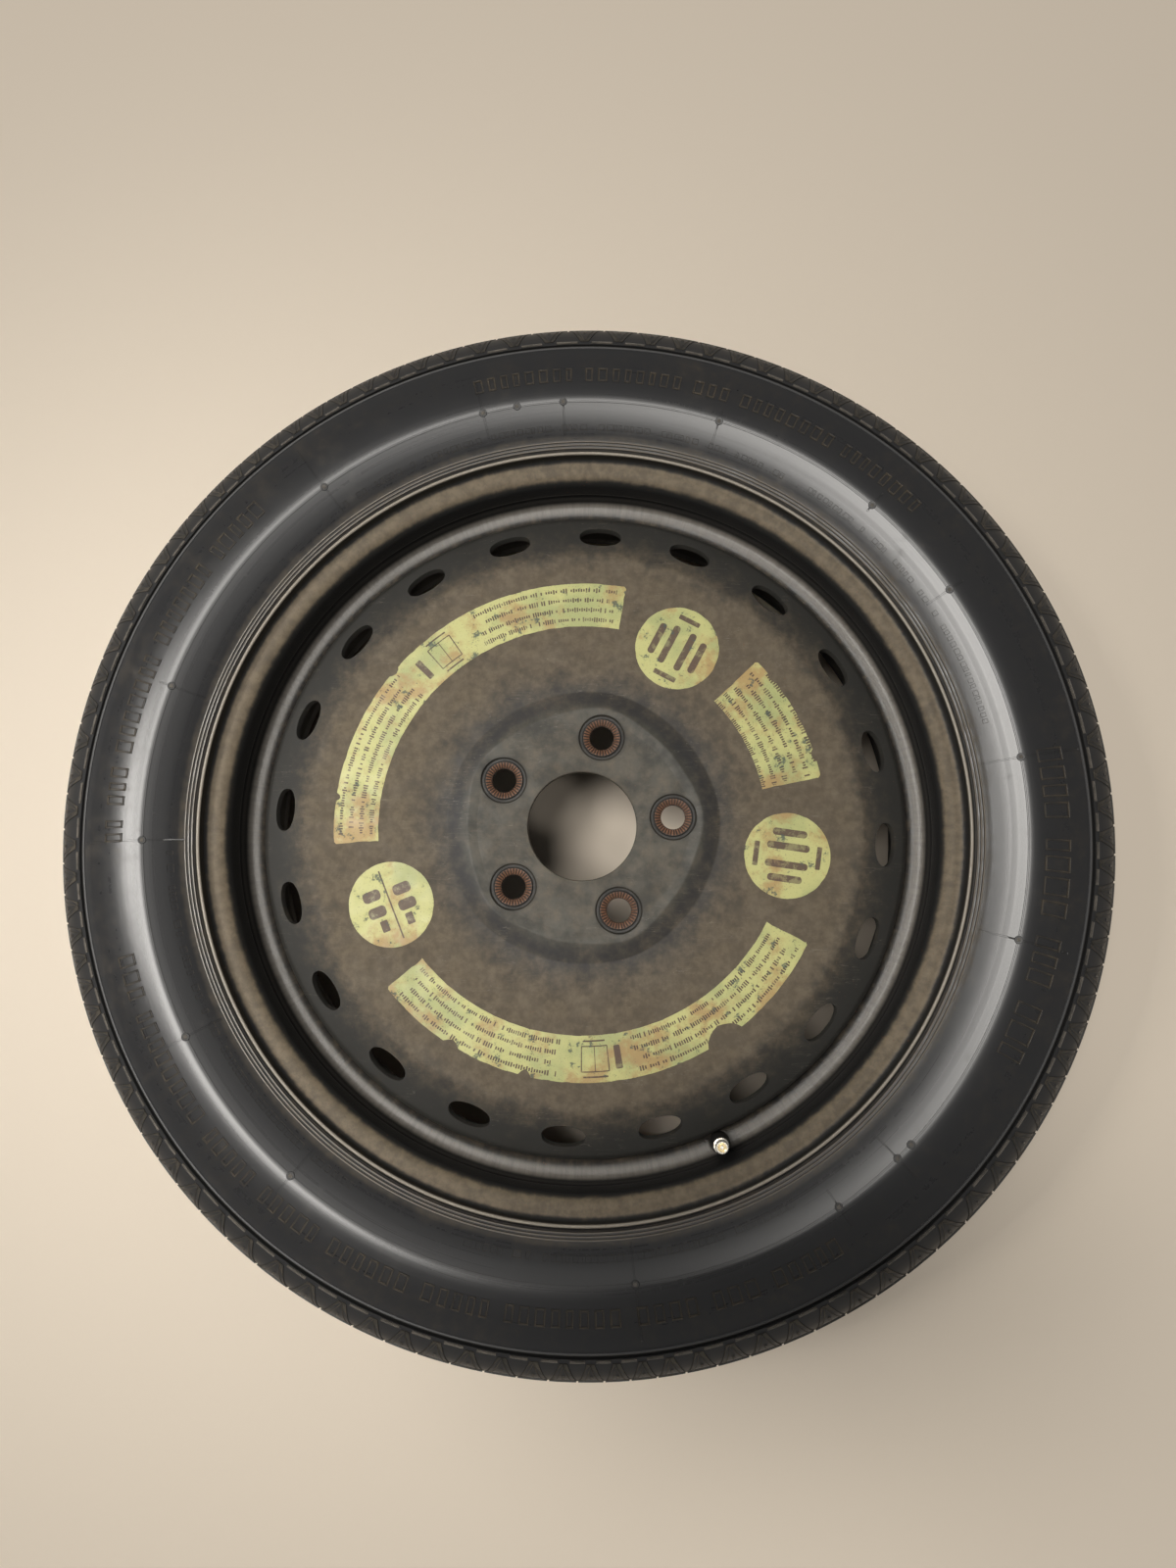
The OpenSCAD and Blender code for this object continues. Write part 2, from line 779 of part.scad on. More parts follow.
// Coil spring round the pin, between the ledge of the barrel and the pin's collar
module core_spring() {
    ring_steps = 14;
    sides = 6;
    rings = spring_turns * ring_steps;
    points = [for (i = [0 : rings], k = [0 : sides - 1])
        let (a = i * 360 / ring_steps, b = k * 360 / sides)
        let (rr = spring_r + wire_d / 2 * cos(b))
        [rr * cos(a), rr * sin(a), spring_low + (spring_high - spring_low) * i / rings + wire_d / 2 * sin(b)]];
    side_faces = [for (i = [0 : rings - 1], k = [0 : sides - 1])
        let (n = (k + 1) % sides)
        each [[i * sides + k, (i + 1) * sides + k, i * sides + n],
            [i * sides + n, (i + 1) * sides + k, (i + 1) * sides + n]]];
    first = [for (k = [0 : sides - 1]) k];
    last = [for (k = [sides - 1 : -1 : 0]) rings * sides + k];
    color(steel)
        at_valve()
            polyhedron(points, concat(side_faces, [first, last]));
}

tyre();
rim();
wheel_disc();
weld_beads();
arc_label_left();
arc_label_bottom();
arc_label_right();
round_label_top();
round_label_right();
round_label_left();
valve_rubber();
valve_stem();
core_plug();
core_barrel();
core_barrel_seal();
core_pin();
core_cup();
core_cup_seal();
core_spring();
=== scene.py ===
# Looks of a temporary spare wheel: the tyre, the pressed steel wheel, its labels and its valve.
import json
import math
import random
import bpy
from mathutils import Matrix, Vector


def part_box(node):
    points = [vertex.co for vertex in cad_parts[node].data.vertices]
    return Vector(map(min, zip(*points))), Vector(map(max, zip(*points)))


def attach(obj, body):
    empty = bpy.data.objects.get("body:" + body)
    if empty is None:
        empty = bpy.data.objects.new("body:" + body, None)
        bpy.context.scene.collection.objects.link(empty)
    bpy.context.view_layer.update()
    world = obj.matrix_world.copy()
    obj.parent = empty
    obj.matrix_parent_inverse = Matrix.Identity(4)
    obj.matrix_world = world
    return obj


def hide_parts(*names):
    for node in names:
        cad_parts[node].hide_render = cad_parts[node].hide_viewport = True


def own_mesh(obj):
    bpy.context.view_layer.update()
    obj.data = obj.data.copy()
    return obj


bl_info = {
    "name": "Temporary spare wheel",
    "version": (1, 0, 0),
    "blender": (4, 5, 0),
    "location": "View3D > Sidebar > Spare wheel",
    "description": "Models and finishes the tyre, rim, disc, labels and valve of a spare wheel",
    "category": "Object",
}

import bmesh
import bpy
from bpy.props import FloatProperty, FloatVectorProperty, IntProperty, PointerProperty
from mathutils import Matrix, Vector, noise

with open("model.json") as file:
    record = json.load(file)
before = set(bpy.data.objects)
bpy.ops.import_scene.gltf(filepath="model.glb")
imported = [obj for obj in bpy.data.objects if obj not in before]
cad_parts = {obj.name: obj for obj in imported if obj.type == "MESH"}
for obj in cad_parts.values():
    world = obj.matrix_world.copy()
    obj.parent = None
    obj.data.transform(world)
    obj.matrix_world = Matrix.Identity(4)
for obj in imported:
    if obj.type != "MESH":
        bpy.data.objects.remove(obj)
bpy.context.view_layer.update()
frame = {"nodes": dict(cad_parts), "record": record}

MM = 0.001
WHEEL = "wheel"
MOUNTS = {mount["name"]: mount for mount in frame["record"]["mounts"]}
TYRE_LOW, TYRE_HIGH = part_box("tyre")
FLOOR_Z = TYRE_LOW.z
# Between the disc's turned edge and the rim, in millimetres
PRESS_GAP = 0.05


def length(label, text, default):
    """A length that the user can change, given here in millimetres."""
    return FloatProperty(name=label, description=text, default=default * MM, min=0.0, unit="LENGTH",
                         precision=5)


def angle(label, text, default):
    """An angle that the user can change, given here in degrees."""
    return FloatProperty(name=label, description=text, default=math.radians(default), subtype="ANGLE")


def colour(label, text, default):
    """A colour that the user can change."""
    return FloatVectorProperty(name=label, description=text, default=default, size=3, min=0.0, max=1.0,
                               subtype="COLOR")


class SpareTyreSizes(bpy.types.PropertyGroup):
    outside_d: length("Outside diameter", "Diameter over the tread", (TYRE_HIGH.x - TYRE_LOW.x) / MM)
    section_w: length("Section width", "Width from sidewall to sidewall", 155)
    tread_w: length("Tread width", "Width between the shoulder edges", 103)
    crown_drop: length("Crown drop", "How much lower the tread edge is than its middle", 3)
    groove_d: length("Groove depth", "Depth of the tread grooves", 5.5)
    groove_w: length("Groove width", "Width of the tread grooves", 6.5)
    shoulder_h: length("Shoulder height", "From the raised shoulder line to the tread edge", 23.4)
    mould_h: length("Mould line height", "From the rim flange to the parting line", 27.6)
    line_h: length("Line height", "Height of the raised lines", 0.7)
    pitches: IntProperty(name="Pitches", description="Repeats of the tread pattern", default=104, min=24)


class SpareRimSizes(bpy.types.PropertyGroup):
    rim_w: length("Rim width", "Between the flanges", 114.3)
    seat_d: length("Seat diameter", "Diameter at the bead seat", 436.6)
    flange_h: length("Flange height", "Above the bead seat", 14.1)
    curl_r: length("Curl radius", "Radius of the rolled flange edge", 7.5)
    sheet_t: length("Sheet thickness", "Thickness of the rim", 2.4)
    well_r: length("Drop centre radius", "Inside radius of the drop centre", 201.2)
    well_front: length("Drop centre front", "Front corner of the drop centre above the wheel centre", 25)
    well_rear: length("Drop centre rear", "Rear corner of the drop centre below the wheel centre", 14)
    flank_a: angle("Flank angle", "Tilt of the front side of the drop centre", 6)


class SpareDiscSizes(bpy.types.PropertyGroup):
    face_z: length("Mounting face", "Height of the mounting face above the wheel centre", 44.4)
    sheet_t: length("Sheet thickness", "Thickness of the disc", 4.2)
    bore_d: length("Centre bore", "Diameter of the centre bore", MOUNTS["centre_bore"]["dims"]["r_mm"] * 2)
    bolt_pcd: length("Bolt circle", "Diameter of the bolt circle", MOUNTS["bolt_circle"]["dims"]["pcd_mm"])
    bolt_d: length("Bolt hole", "Diameter of a bolt hole", MOUNTS["bolt_circle"]["dims"]["hole_r_mm"] * 2)
    seat_d: length("Bolt seat", "Outside diameter of a bolt seat", 22.6)
    hub_r: length("Hub plate radius", "Radius of the raised hub plate", 70.5)
    hub_step: length("Hub plate height", "Above the flat ring", 2.6)
    corner_h: length("Hub corners", "How far the corners of the hub plate reach past its sides", 3.6)
    ring_r: length("Flat ring radius", "Outside radius of the flat ring", 171)
    vent_r: length("Vent circle", "Radius of the circle of vent holes", 186.5)
    vent_l: length("Vent length", "Length of a vent hole round the disc", 26.5)
    vent_w: length("Vent width", "Width of a vent hole", 13.5)
    vent_a: angle("Vent slope", "Slope of the vented band", 19)
    bolt_from: angle("First bolt", "Angle of the first bolt hole", 5.5)
    vent_from: angle("First vent", "Angle of the first vent hole", 14.5)
    vents: IntProperty(name="Vents", description="Number of vent holes", default=20, min=4)


class SpareFinishes(bpy.types.PropertyGroup):
    rubber: colour("Rubber", "Clean rubber of the sidewall", (0.020, 0.020, 0.021))
    tread: colour("Tread", "Dull rubber of the tread and shoulder", (0.020, 0.020, 0.018))
    dust: colour("Dust", "Brown dust on the wheel", (0.112, 0.088, 0.058))
    rust: colour("Rust", "Rust at bare edges", (0.145, 0.066, 0.033))
    paint: colour("Paint", "Black paint of the wheel", (0.016, 0.016, 0.016))
    hub: colour("Hub plate", "Worn grey paint of the hub plate", (0.060, 0.057, 0.044))
    film: colour("Label film", "Ground of the labels", (0.50, 0.49, 0.19))
    print: colour("Label print", "Marks on the labels", (0.075, 0.038, 0.024))
    floor: colour("Floor", "Plain floor", (0.74, 0.65, 0.54))


def rounded(points, radii, steps=6):
    """The path through points, with each inner corner rounded to its radius."""
    path = [Vector(points[0])]
    for before, corner, after, radius in zip(points, points[1:], points[2:], radii[1:]):
        b = Vector(corner)
        if not radius:
            path.append(b)
            continue
        u = (Vector(before) - b).normalized()
        v = (Vector(after) - b).normalized()
        half = u.angle(v) / 2
        centre = b + (u + v).normalized() * radius / math.sin(half)
        arm = b + u * radius / math.tan(half) - centre
        sweep = (b + v * radius / math.tan(half) - centre).angle_signed(arm)
        path += [centre + Matrix.Rotation(sweep * i / steps, 2) @ arm for i in range(steps + 1)]
    return path + [Vector(points[-1])]


def shifted(path, distance):
    """The path moved to its left by the distance, or to its right if that is negative."""
    result = []
    for i, p in enumerate(path):
        ways = [b - a for a, b in zip(path[max(i - 1, 0):i + 1], path[max(i - 1, 0) + 1:i + 2])]
        lefts = [Vector((-w.y, w.x)).normalized() for w in ways]
        m = sum(lefts, Vector((0.0, 0.0)))
        result.append(p + m * len(lefts) * distance / m.dot(m))
    return result


def curve(a, b, c, d, steps=12):
    """Points along a smooth curve from a to d, pulled by b and c."""
    result = []
    for i in range(steps + 1):
        t = i / steps
        s = 1 - t
        near = Vector(a) * s ** 3 + Vector(b) * 3 * s * s * t
        result.append(near + Vector(c) * 3 * s * t * t + Vector(d) * t ** 3)
    return result


def mirrored(path):
    """The path seen in the middle plane of the wheel, in the other direction."""
    return [Vector((p.x, -p.y)) for p in reversed(path)]


def lathe(outline, steps=360, place=None, sweep=math.tau, closed=True):
    """A bmesh turned round Z from an outline of (radius, height) points in millimetres."""
    bm = bmesh.new()
    verts = [bm.verts.new((p[0] * MM, 0.0, p[1] * MM)) for p in outline]
    ends = zip(verts, verts[1:] + (verts[:1] if closed else []))
    edges = [bm.edges.new(pair) for pair in ends]
    whole = sweep == math.tau
    geometry = verts + edges
    if not whole:
        geometry.append(bm.faces.new(verts))
    bmesh.ops.spin(bm, geom=geometry, cent=(0, 0, 0), axis=(0, 0, 1), dvec=(0, 0, 0),
                   angle=sweep, steps=steps, use_merge=whole, use_duplicate=False)
    bmesh.ops.remove_doubles(bm, verts=bm.verts, dist=0.002 * MM)
    bmesh.ops.recalc_face_normals(bm, faces=bm.faces)
    if place:
        bmesh.ops.transform(bm, matrix=place, verts=bm.verts)
    return bm


def joined(parts):
    """One bmesh from several, which are freed."""
    whole = bmesh.new()
    for part in parts:
        mesh = bpy.data.meshes.new("part")
        part.to_mesh(mesh)
        part.free()
        whole.from_mesh(mesh)
        bpy.data.meshes.remove(mesh)
    return whole


def make_object(bm, name, material=None, sharp=32):
    """An object at the origin from a bmesh, smooth apart from edges sharper than the given degrees."""
    mesh = bpy.data.meshes.new(name)
    bm.to_mesh(mesh)
    bm.free()
    mesh.shade_smooth()
    mesh.set_sharp_from_angle(angle=math.radians(sharp))
    if material:
        mesh.materials.append(material)
    obj = bpy.data.objects.new(name, mesh)
    bpy.context.scene.collection.objects.link(obj)
    return obj


def ride(obj, replaces=(), body=WHEEL):
    """Puts a finished piece on its body, in place of the CAD nodes that it stands for."""
    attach(obj, body)
    if replaces:
        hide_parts(*replaces)
    return obj


def cut(obj, cutter):
    """Takes the cutter's shape out of the object, and deletes the cutter."""
    modifier = obj.modifiers.new("Cut", "BOOLEAN")
    modifier.operation = "DIFFERENCE"
    modifier.solver = "EXACT"
    modifier.object = cutter
    bpy.context.view_layer.update()
    shaped = obj.evaluated_get(bpy.context.evaluated_depsgraph_get())
    mesh = bpy.data.meshes.new_from_object(shaped)
    obj.modifiers.clear()
    old = obj.data
    obj.data = mesh
    mesh.name = old.name
    bpy.data.meshes.remove(old)
    bpy.data.objects.remove(cutter)


def rim_outline(rim):
    """The section of the rim, and the path of its side towards the tyre."""
    seat_r = rim.seat_d / MM / 2
    flange_z = rim.rim_w / MM / 2
    curl_r = rim.curl_r / MM
    curl_c = Vector((seat_r + rim.flange_h / MM - curl_r, flange_z + curl_r))
    sheet = rim.sheet_t / MM
    well_r = rim.well_r / MM + sheet
    front = rim.well_front / MM - sheet
    rear = -rim.well_rear / MM
    ledge_r = seat_r - 1.0
    heel_r = 6.5
    soft_r = 4
    curl_to = math.radians(35)
    sweep = math.radians(90) + curl_to
    reach = curl_r / math.cos(sweep / 4)

    def about(radius, turn):
        return curl_c + radius * Vector((math.cos(turn), math.sin(turn)))

    # The rolled edge, the heel of the bead seat, the hump and the ledge inside it
    flange = [about(curl_r, curl_to), about(reach, curl_to - sweep / 4),
              about(reach, curl_to - sweep * 3 / 4),
              Vector((seat_r, flange_z)), Vector((seat_r - 1.4, flange_z - 16)),
              Vector((ledge_r + 1, flange_z - 19)), Vector((ledge_r, flange_z - 22))]
    radii = [0, curl_r, curl_r, heel_r, soft_r, soft_r, soft_r]
    flank_top = Vector((ledge_r, front + (ledge_r - well_r) * math.tan(rim.flank_a)))
    well = [flank_top, Vector((well_r, front)), Vector((well_r, rear)), Vector((ledge_r, rear - 12))]
    path = flange + well + mirrored(flange)
    corners = radii + [7.5, 5.5, 3.6, 6] + radii[::-1]
    outer = rounded(path, corners, steps=8)
    inner = shifted(outer, -sheet)
    # Each lip ends in a rounded edge
    ends = []
    for a, b, way in ((inner[0], outer[0], outer[0] - outer[1]),
                      (outer[-1], inner[-1], outer[-1] - outer[-2])):
        middle = (a + b) / 2
        arm = (a - b) / 2
        bulge = way.normalized() * sheet / 2
        ends.append([middle + arm * math.cos(t) + bulge * math.sin(t)
                     for t in (math.radians(d) for d in (25, 55, 90, 125, 155))])
    return outer + ends[1] + inner[::-1] + ends[0], outer


class Surface:
    """The outside of the tyre, for flat shapes: x runs round it, y up its section and z out of it."""

    def __init__(self, path, radius):
        self.path = [Vector(p) for p in path]
        self.radius = radius
        self.marks = [0.0]
        for a, b in zip(self.path, self.path[1:]):
            self.marks.append(self.marks[-1] + (b - a).length)

    def at_radius(self, radius):
        """How far along the section a radius is reached."""
        for mark, a, b in zip(self.marks, self.path, self.path[1:]):
            if min(a.x, b.x) <= radius <= max(a.x, b.x) and a.x != b.x:
                return mark + (b - a).length * (radius - a.x) / (b.x - a.x)
        raise ValueError(f"the section has no radius {radius}")

    def place(self, x, y, z):
        """The point of the wheel for a point of the flat drawing, all in millimetres."""
        y = min(max(y, 0.0), self.marks[-1] - 1e-6)
        i = max(k for k, mark in enumerate(self.marks[:-1]) if mark <= y)
        a, b = self.path[i], self.path[i + 1]
        way = (b - a).normalized()
        p = a + way * (y - self.marks[i]) + Vector((-way.y, way.x)) * z
        turn = x / self.radius
        return Vector((p.x * math.cos(turn), p.x * math.sin(turn), p.y)) * MM

    def wrap(self, bm):
        """Lays a flat drawing, in millimetres, on the tyre."""
        for vert in bm.verts:
            vert.co = self.place(*vert.co)


def tyre_section(tyre, rim):
    """The outside of the tyre from the rim to the middle of the tread, as named stretches of points."""
    half_w = tyre.section_w / MM / 2
    half_tread = tyre.tread_w / MM / 2
    tread_r = tyre.outside_d / MM / 2
    line_h = tyre.line_h / MM
    flange_r = rim.seat_d / MM / 2 + rim.flange_h / MM
    flange_z = rim.rim_w / MM / 2 + rim.curl_r / MM
    cushion = Vector((flange_r + 1, flange_z + 2.2))
    rib_step = Vector((2.0, 0.25))
    mould = Vector((flange_r + tyre.mould_h / MM, half_w - 1.4))
    edge_r = tread_r - tyre.crown_drop / MM
    line = Vector((edge_r - tyre.shoulder_h / MM, half_w - 6.4))

    def crown(z):
        return Vector((tread_r - tyre.crown_drop / MM * (z / half_tread) ** 2, z))

    ribs = []
    for i in range(3):
        p = cushion + rib_step * i
        ribs += [p, p + Vector((0.35, line_h)), p + Vector((0.95, line_h)), p + Vector((1.3, 0))]
    wall_low = cushion + rib_step * 3
    wall_high = mould - Vector((0.3, 0.1))
    lower = curve(wall_low, wall_low + Vector((6, 3.5)), mould - Vector((8, 2.6)), wall_high, 16)
    mould_line = [mould + Vector((-0.1, line_h * 0.4)), mould + Vector((0.4, line_h * 0.6))]
    high = mould + Vector((0.7, 0.25))
    upper = curve(high, high + Vector((4.5, 1.35)), line + Vector((-18.5, 7)), line - Vector((0.8, 0)), 28)
    # The raised shoulder line, with a groove behind it
    ridge = [line + Vector(step) for step in ((-0.4, line_h * 0.5), (0.4, line_h * 0.7), (1.0, line_h * 0.1),
                                              (1.5, -3.4), (3.0, -4.2))]
    foot = line + Vector((4.0, -3.0))
    edge = crown(half_tread)
    shoulder = curve(foot, foot + Vector((8, -4)), edge + Vector((-4.2, 8.4)), edge - Vector((2, 0)))
    deep = tyre.groove_d / MM
    floor = [crown(half_tread * (1 - i / 6)) - Vector((deep, 0)) for i in range(7)]
    floor[0] = crown(half_tread - 3) - Vector((deep, 0))
    return {"cushion": cushion, "crown": crown, "mould": mould, "shoulder": shoulder, "floor": floor,
            "wall": ribs + lower + mould_line + upper + ridge}


def pad(bm, outline, low, high, edge=0.35):
    """A closed pad over a flat outline, from low to high, with its top edge cut back."""
    verts = [bm.verts.new((x, y, low)) for x, y in outline]
    base = bm.faces.new(verts)
    base.normal_update()
    if base.normal.z > 0:
        base.normal_flip()
    grown = bmesh.ops.extrude_face_region(bm, geom=[base], use_keep_orig=True)["geom"]
    top = next(item for item in grown if isinstance(item, bmesh.types.BMFace))
    bmesh.ops.translate(bm, verts=top.verts, vec=(0, 0, high - low - edge))
    bmesh.ops.inset_region(bm, faces=[top], thickness=edge, depth=edge, use_even_offset=True)


def bar(x, y, along, across, turn=0.0, parts=3):
    """The outline of a straight bar, its long sides cut into parts so that it can bend."""
    corners = [(-along / 2 + along * i / parts, -across / 2) for i in range(parts + 1)]
    corners += [(-px, -py) for px, py in corners]
    c, s = math.cos(turn), math.sin(turn)
    return [(x + px * c - py * s, y + px * s + py * c) for px, py in corners]


class SPARE_OT_tyre_casing(bpy.types.Operator):
    """The casing of the tyre: beads, sidewalls with raised lines, shoulders and the floor of the tread"""

    bl_idname = "spare.tyre_casing"
    bl_label = "Tyre casing"

    def execute(self, context):
        tyre = context.scene.spare_tyre
        rim = context.scene.spare_rim
        section = tyre_section(tyre, rim)
        path = rim_outline(rim)[1]
        lip = section["cushion"]
        bead_gap = 0.3
        bead_h = 20.5
        bead = [p for p in shifted(path, bead_gap) if lip.y - bead_h < p.y < lip.y - bead_gap][::-1]
        front = bead + section["wall"] + section["shoulder"] + section["floor"]
        # The lining, from the toe of the bead by the widest place to the middle of the tread
        wall_t = 6.5
        under_tread = 7
        mid = Vector((lip.x + 34.6, tyre.section_w / MM / 2 - wall_t))
        toe = bead[0] + Vector((3, -0.6))
        tread_in = section["floor"][-1].x - under_tread
        lining = curve(toe, toe + Vector((21, 6)), mid - Vector((14, 2)), mid, 6)
        lining += curve(mid, mid + Vector((21, 0)), (tread_in, 58), (tread_in, 42), 8)[1:]
        outline = front + mirrored(front)[1:] + mirrored(lining) + lining[::-1]
        bm = lathe(outline, steps=300)
        obj = make_object(bm, "tyre_casing", rubber_material(context, "Tyre rubber", 0.0), sharp=16)
        ride(obj, ["tyre"])
        return {"FINISHED"}


def moulded(bm, name, material):
    """A piece of moulded rubber on the tyre, from a bmesh that is laid on it already."""
    bmesh.ops.recalc_face_normals(bm, faces=bm.faces)
    ride(make_object(bm, name, material, sharp=30))


def both_sides(bm):
    """Adds the mirror image of a bmesh in the middle plane of the wheel."""
    turn = Matrix.Rotation(math.radians(1.3), 4, "Z") @ Matrix.Scale(-1, 4, (0, 0, 1))
    copy = bmesh.ops.duplicate(bm, geom=bm.verts[:] + bm.edges[:] + bm.faces[:])["geom"]
    bmesh.ops.transform(bm, matrix=turn, verts=[g for g in copy if isinstance(g, bmesh.types.BMVert)])
    bmesh.ops.reverse_faces(bm, faces=[g for g in copy if isinstance(g, bmesh.types.BMFace)])


def pitch_marks(count, total):
    """Where the repeats of the tread pattern begin: short and long ones follow each other in runs."""
    lengths = [1 + 0.16 * math.sin(i * math.tau * 5 / count) + 0.06 * math.sin(i * math.tau * 13 / count)
               for i in range(count)]
    marks = [0.0]
    for part in lengths:
        marks.append(marks[-1] + part * total / sum(lengths))
    return marks


class SPARE_OT_shoulder_pattern(bpy.types.Operator):
    """The moulded pattern on both shoulders: a forked ridge, and a dash and a small peg, in each repeat"""

    bl_idname = "spare.shoulder_pattern"
    bl_label = "Shoulder pattern"

    def execute(self, context):
        tyre = context.scene.spare_tyre
        section = tyre_section(tyre, context.scene.spare_rim)
        radius = tyre.outside_d / MM / 2 - 8
        surface = Surface(section["shoulder"], radius)
        top = surface.marks[-1]
        deep = -0.6
        bm = bmesh.new()
        light = bmesh.new()
        marks = pitch_marks(tyre.pitches, math.tau * radius)
        for start, end in zip(marks, marks[1:]):
            pitch = end - start
            middle = (start + end) / 2
            pad(light, bar(start, 1.6, pitch * 0.6, 1.7), deep, 0.9, 0.3)
            for side in (-1, 1):
                leg = []
                for i in range(6):
                    t = i / 5
                    leg.append((middle + side * pitch * (0.05 + 0.37 * t), 3.2 + (top - 3.5) * t))
                width = 1.5
                outline = [(x - width, y) for x, y in leg] + [(x + width, y) for x, y in reversed(leg)]
                pad(bm, outline, deep, 0.9, 0.4)
            pad(light, bar(middle, 1.6 + top * 0.56, 1.7, 2.4), deep, 1.1, 0.3)
        both_sides_of = ((bm, "shoulder_pattern", tread_material(context, "Ridge rubber", 0.2)),
                         (light, "shoulder_marks", tread_material(context, "Chalky rubber", 0.5)))
        for mesh, name, material in both_sides_of:
            surface.wrap(mesh)
            both_sides(mesh)
            moulded(mesh, name, material)
        return {"FINISHED"}


class SPARE_OT_tread_blocks(bpy.types.Operator):
    """The five rows of tread blocks"""

    bl_idname = "spare.tread_blocks"
    bl_label = "Tread blocks"

    def execute(self, context):
        tyre = context.scene.spare_tyre
        section = tyre_section(tyre, context.scene.spare_rim)
        half = tyre.tread_w / MM / 2
        radius = tyre.outside_d / MM / 2
        groove = tyre.groove_w / MM
        steps = 6
        arc = [section["crown"](half - i * half / steps) for i in range(2 * steps + 1)]
        surface = Surface(arc, radius)
        middle_y = surface.marks[-1] / 2
        # Where the middles of the grooves are, from the middle of the tread
        inner, outer = 13, 35
        deep = -tyre.groove_d / MM - 0.5
        bm = bmesh.new()
        marks = pitch_marks(tyre.pitches, math.tau * radius)
        # Each row from its low to its high edge, the gap between its blocks and how much they lean
        edge_r = half - 0.2
        ribs = [(-edge_r, -outer - groove / 2, 1.3, 0.10),
                (-outer + groove / 2, -inner - groove / 2, 1.1, 0.35),
                (-inner + groove / 2, inner - groove / 2, 0.9, -0.30),
                (inner + groove / 2, outer - groove / 2, 1.1, 0.35),
                (outer + groove / 2, edge_r, 1.3, 0.10)]
        for low, high, gap, lean in ribs:
            for start, end in zip(marks, marks[1:]):
                tilt = lean * (high - low) / 2
                edge = [start + gap / 2 + (end - start - gap) * i / 3 for i in range(4)]
                outline = [(x - tilt, middle_y + low) for x in edge]
                outline += [(x + tilt, middle_y + high) for x in reversed(edge)]
                pad(bm, outline, deep, 0.0, 0.5)
        surface.wrap(bm)
        moulded(bm, "tread_blocks", tread_material(context, "Tread rubber", 0.0))
        return {"FINISHED"}


# Marks on the front sidewall: angles in degrees, counted from +X towards +Y, and lengths in millimetres
PEG_RING = 260
PEGS = (182.2, 161.4, 127.3, 103.4, 98.7, 92.4, 71.0, 47.4, 32.2, 8.3, -15.2, -44.4, -46.8, -56.2, -83.2,
        -129.3, -151.5)
# Each spoke's angle, and the radius where it starts and ends
SPOKES = ((182.2, 238, 297), (127.3, 243, 291), (103.4, 246, 284), (92.4, 242, 262), (71.0, 247, 268),
          (47.4, 256, 270), (32.2, 246, 270), (8.3, 240, 296), (-15.2, 240, 290), (-46.8, 246, 275),
          (-56.2, 250, 272), (-83.2, 240, 292), (-129.3, 243, 276), (-151.5, 240, 287), (161.4, 240, 268))
# Each band's first and last angle, its radius, and the height and width of its marks
FRAME_BANDS = ((134, 182, 277.5, 18, 6), (42, 103, 277.5, 15, 5), (-165, -58, 277.5, 17, 6),
               (-31, 9, 277, 25, 9))
DASH_BANDS = ((60, 128, 246, 6, 3.2), (14, 56, 247, 5.5, 3.0), (184, 238, 246, 7, 4.2),
              (255, 300, 247, 7, 4.2))


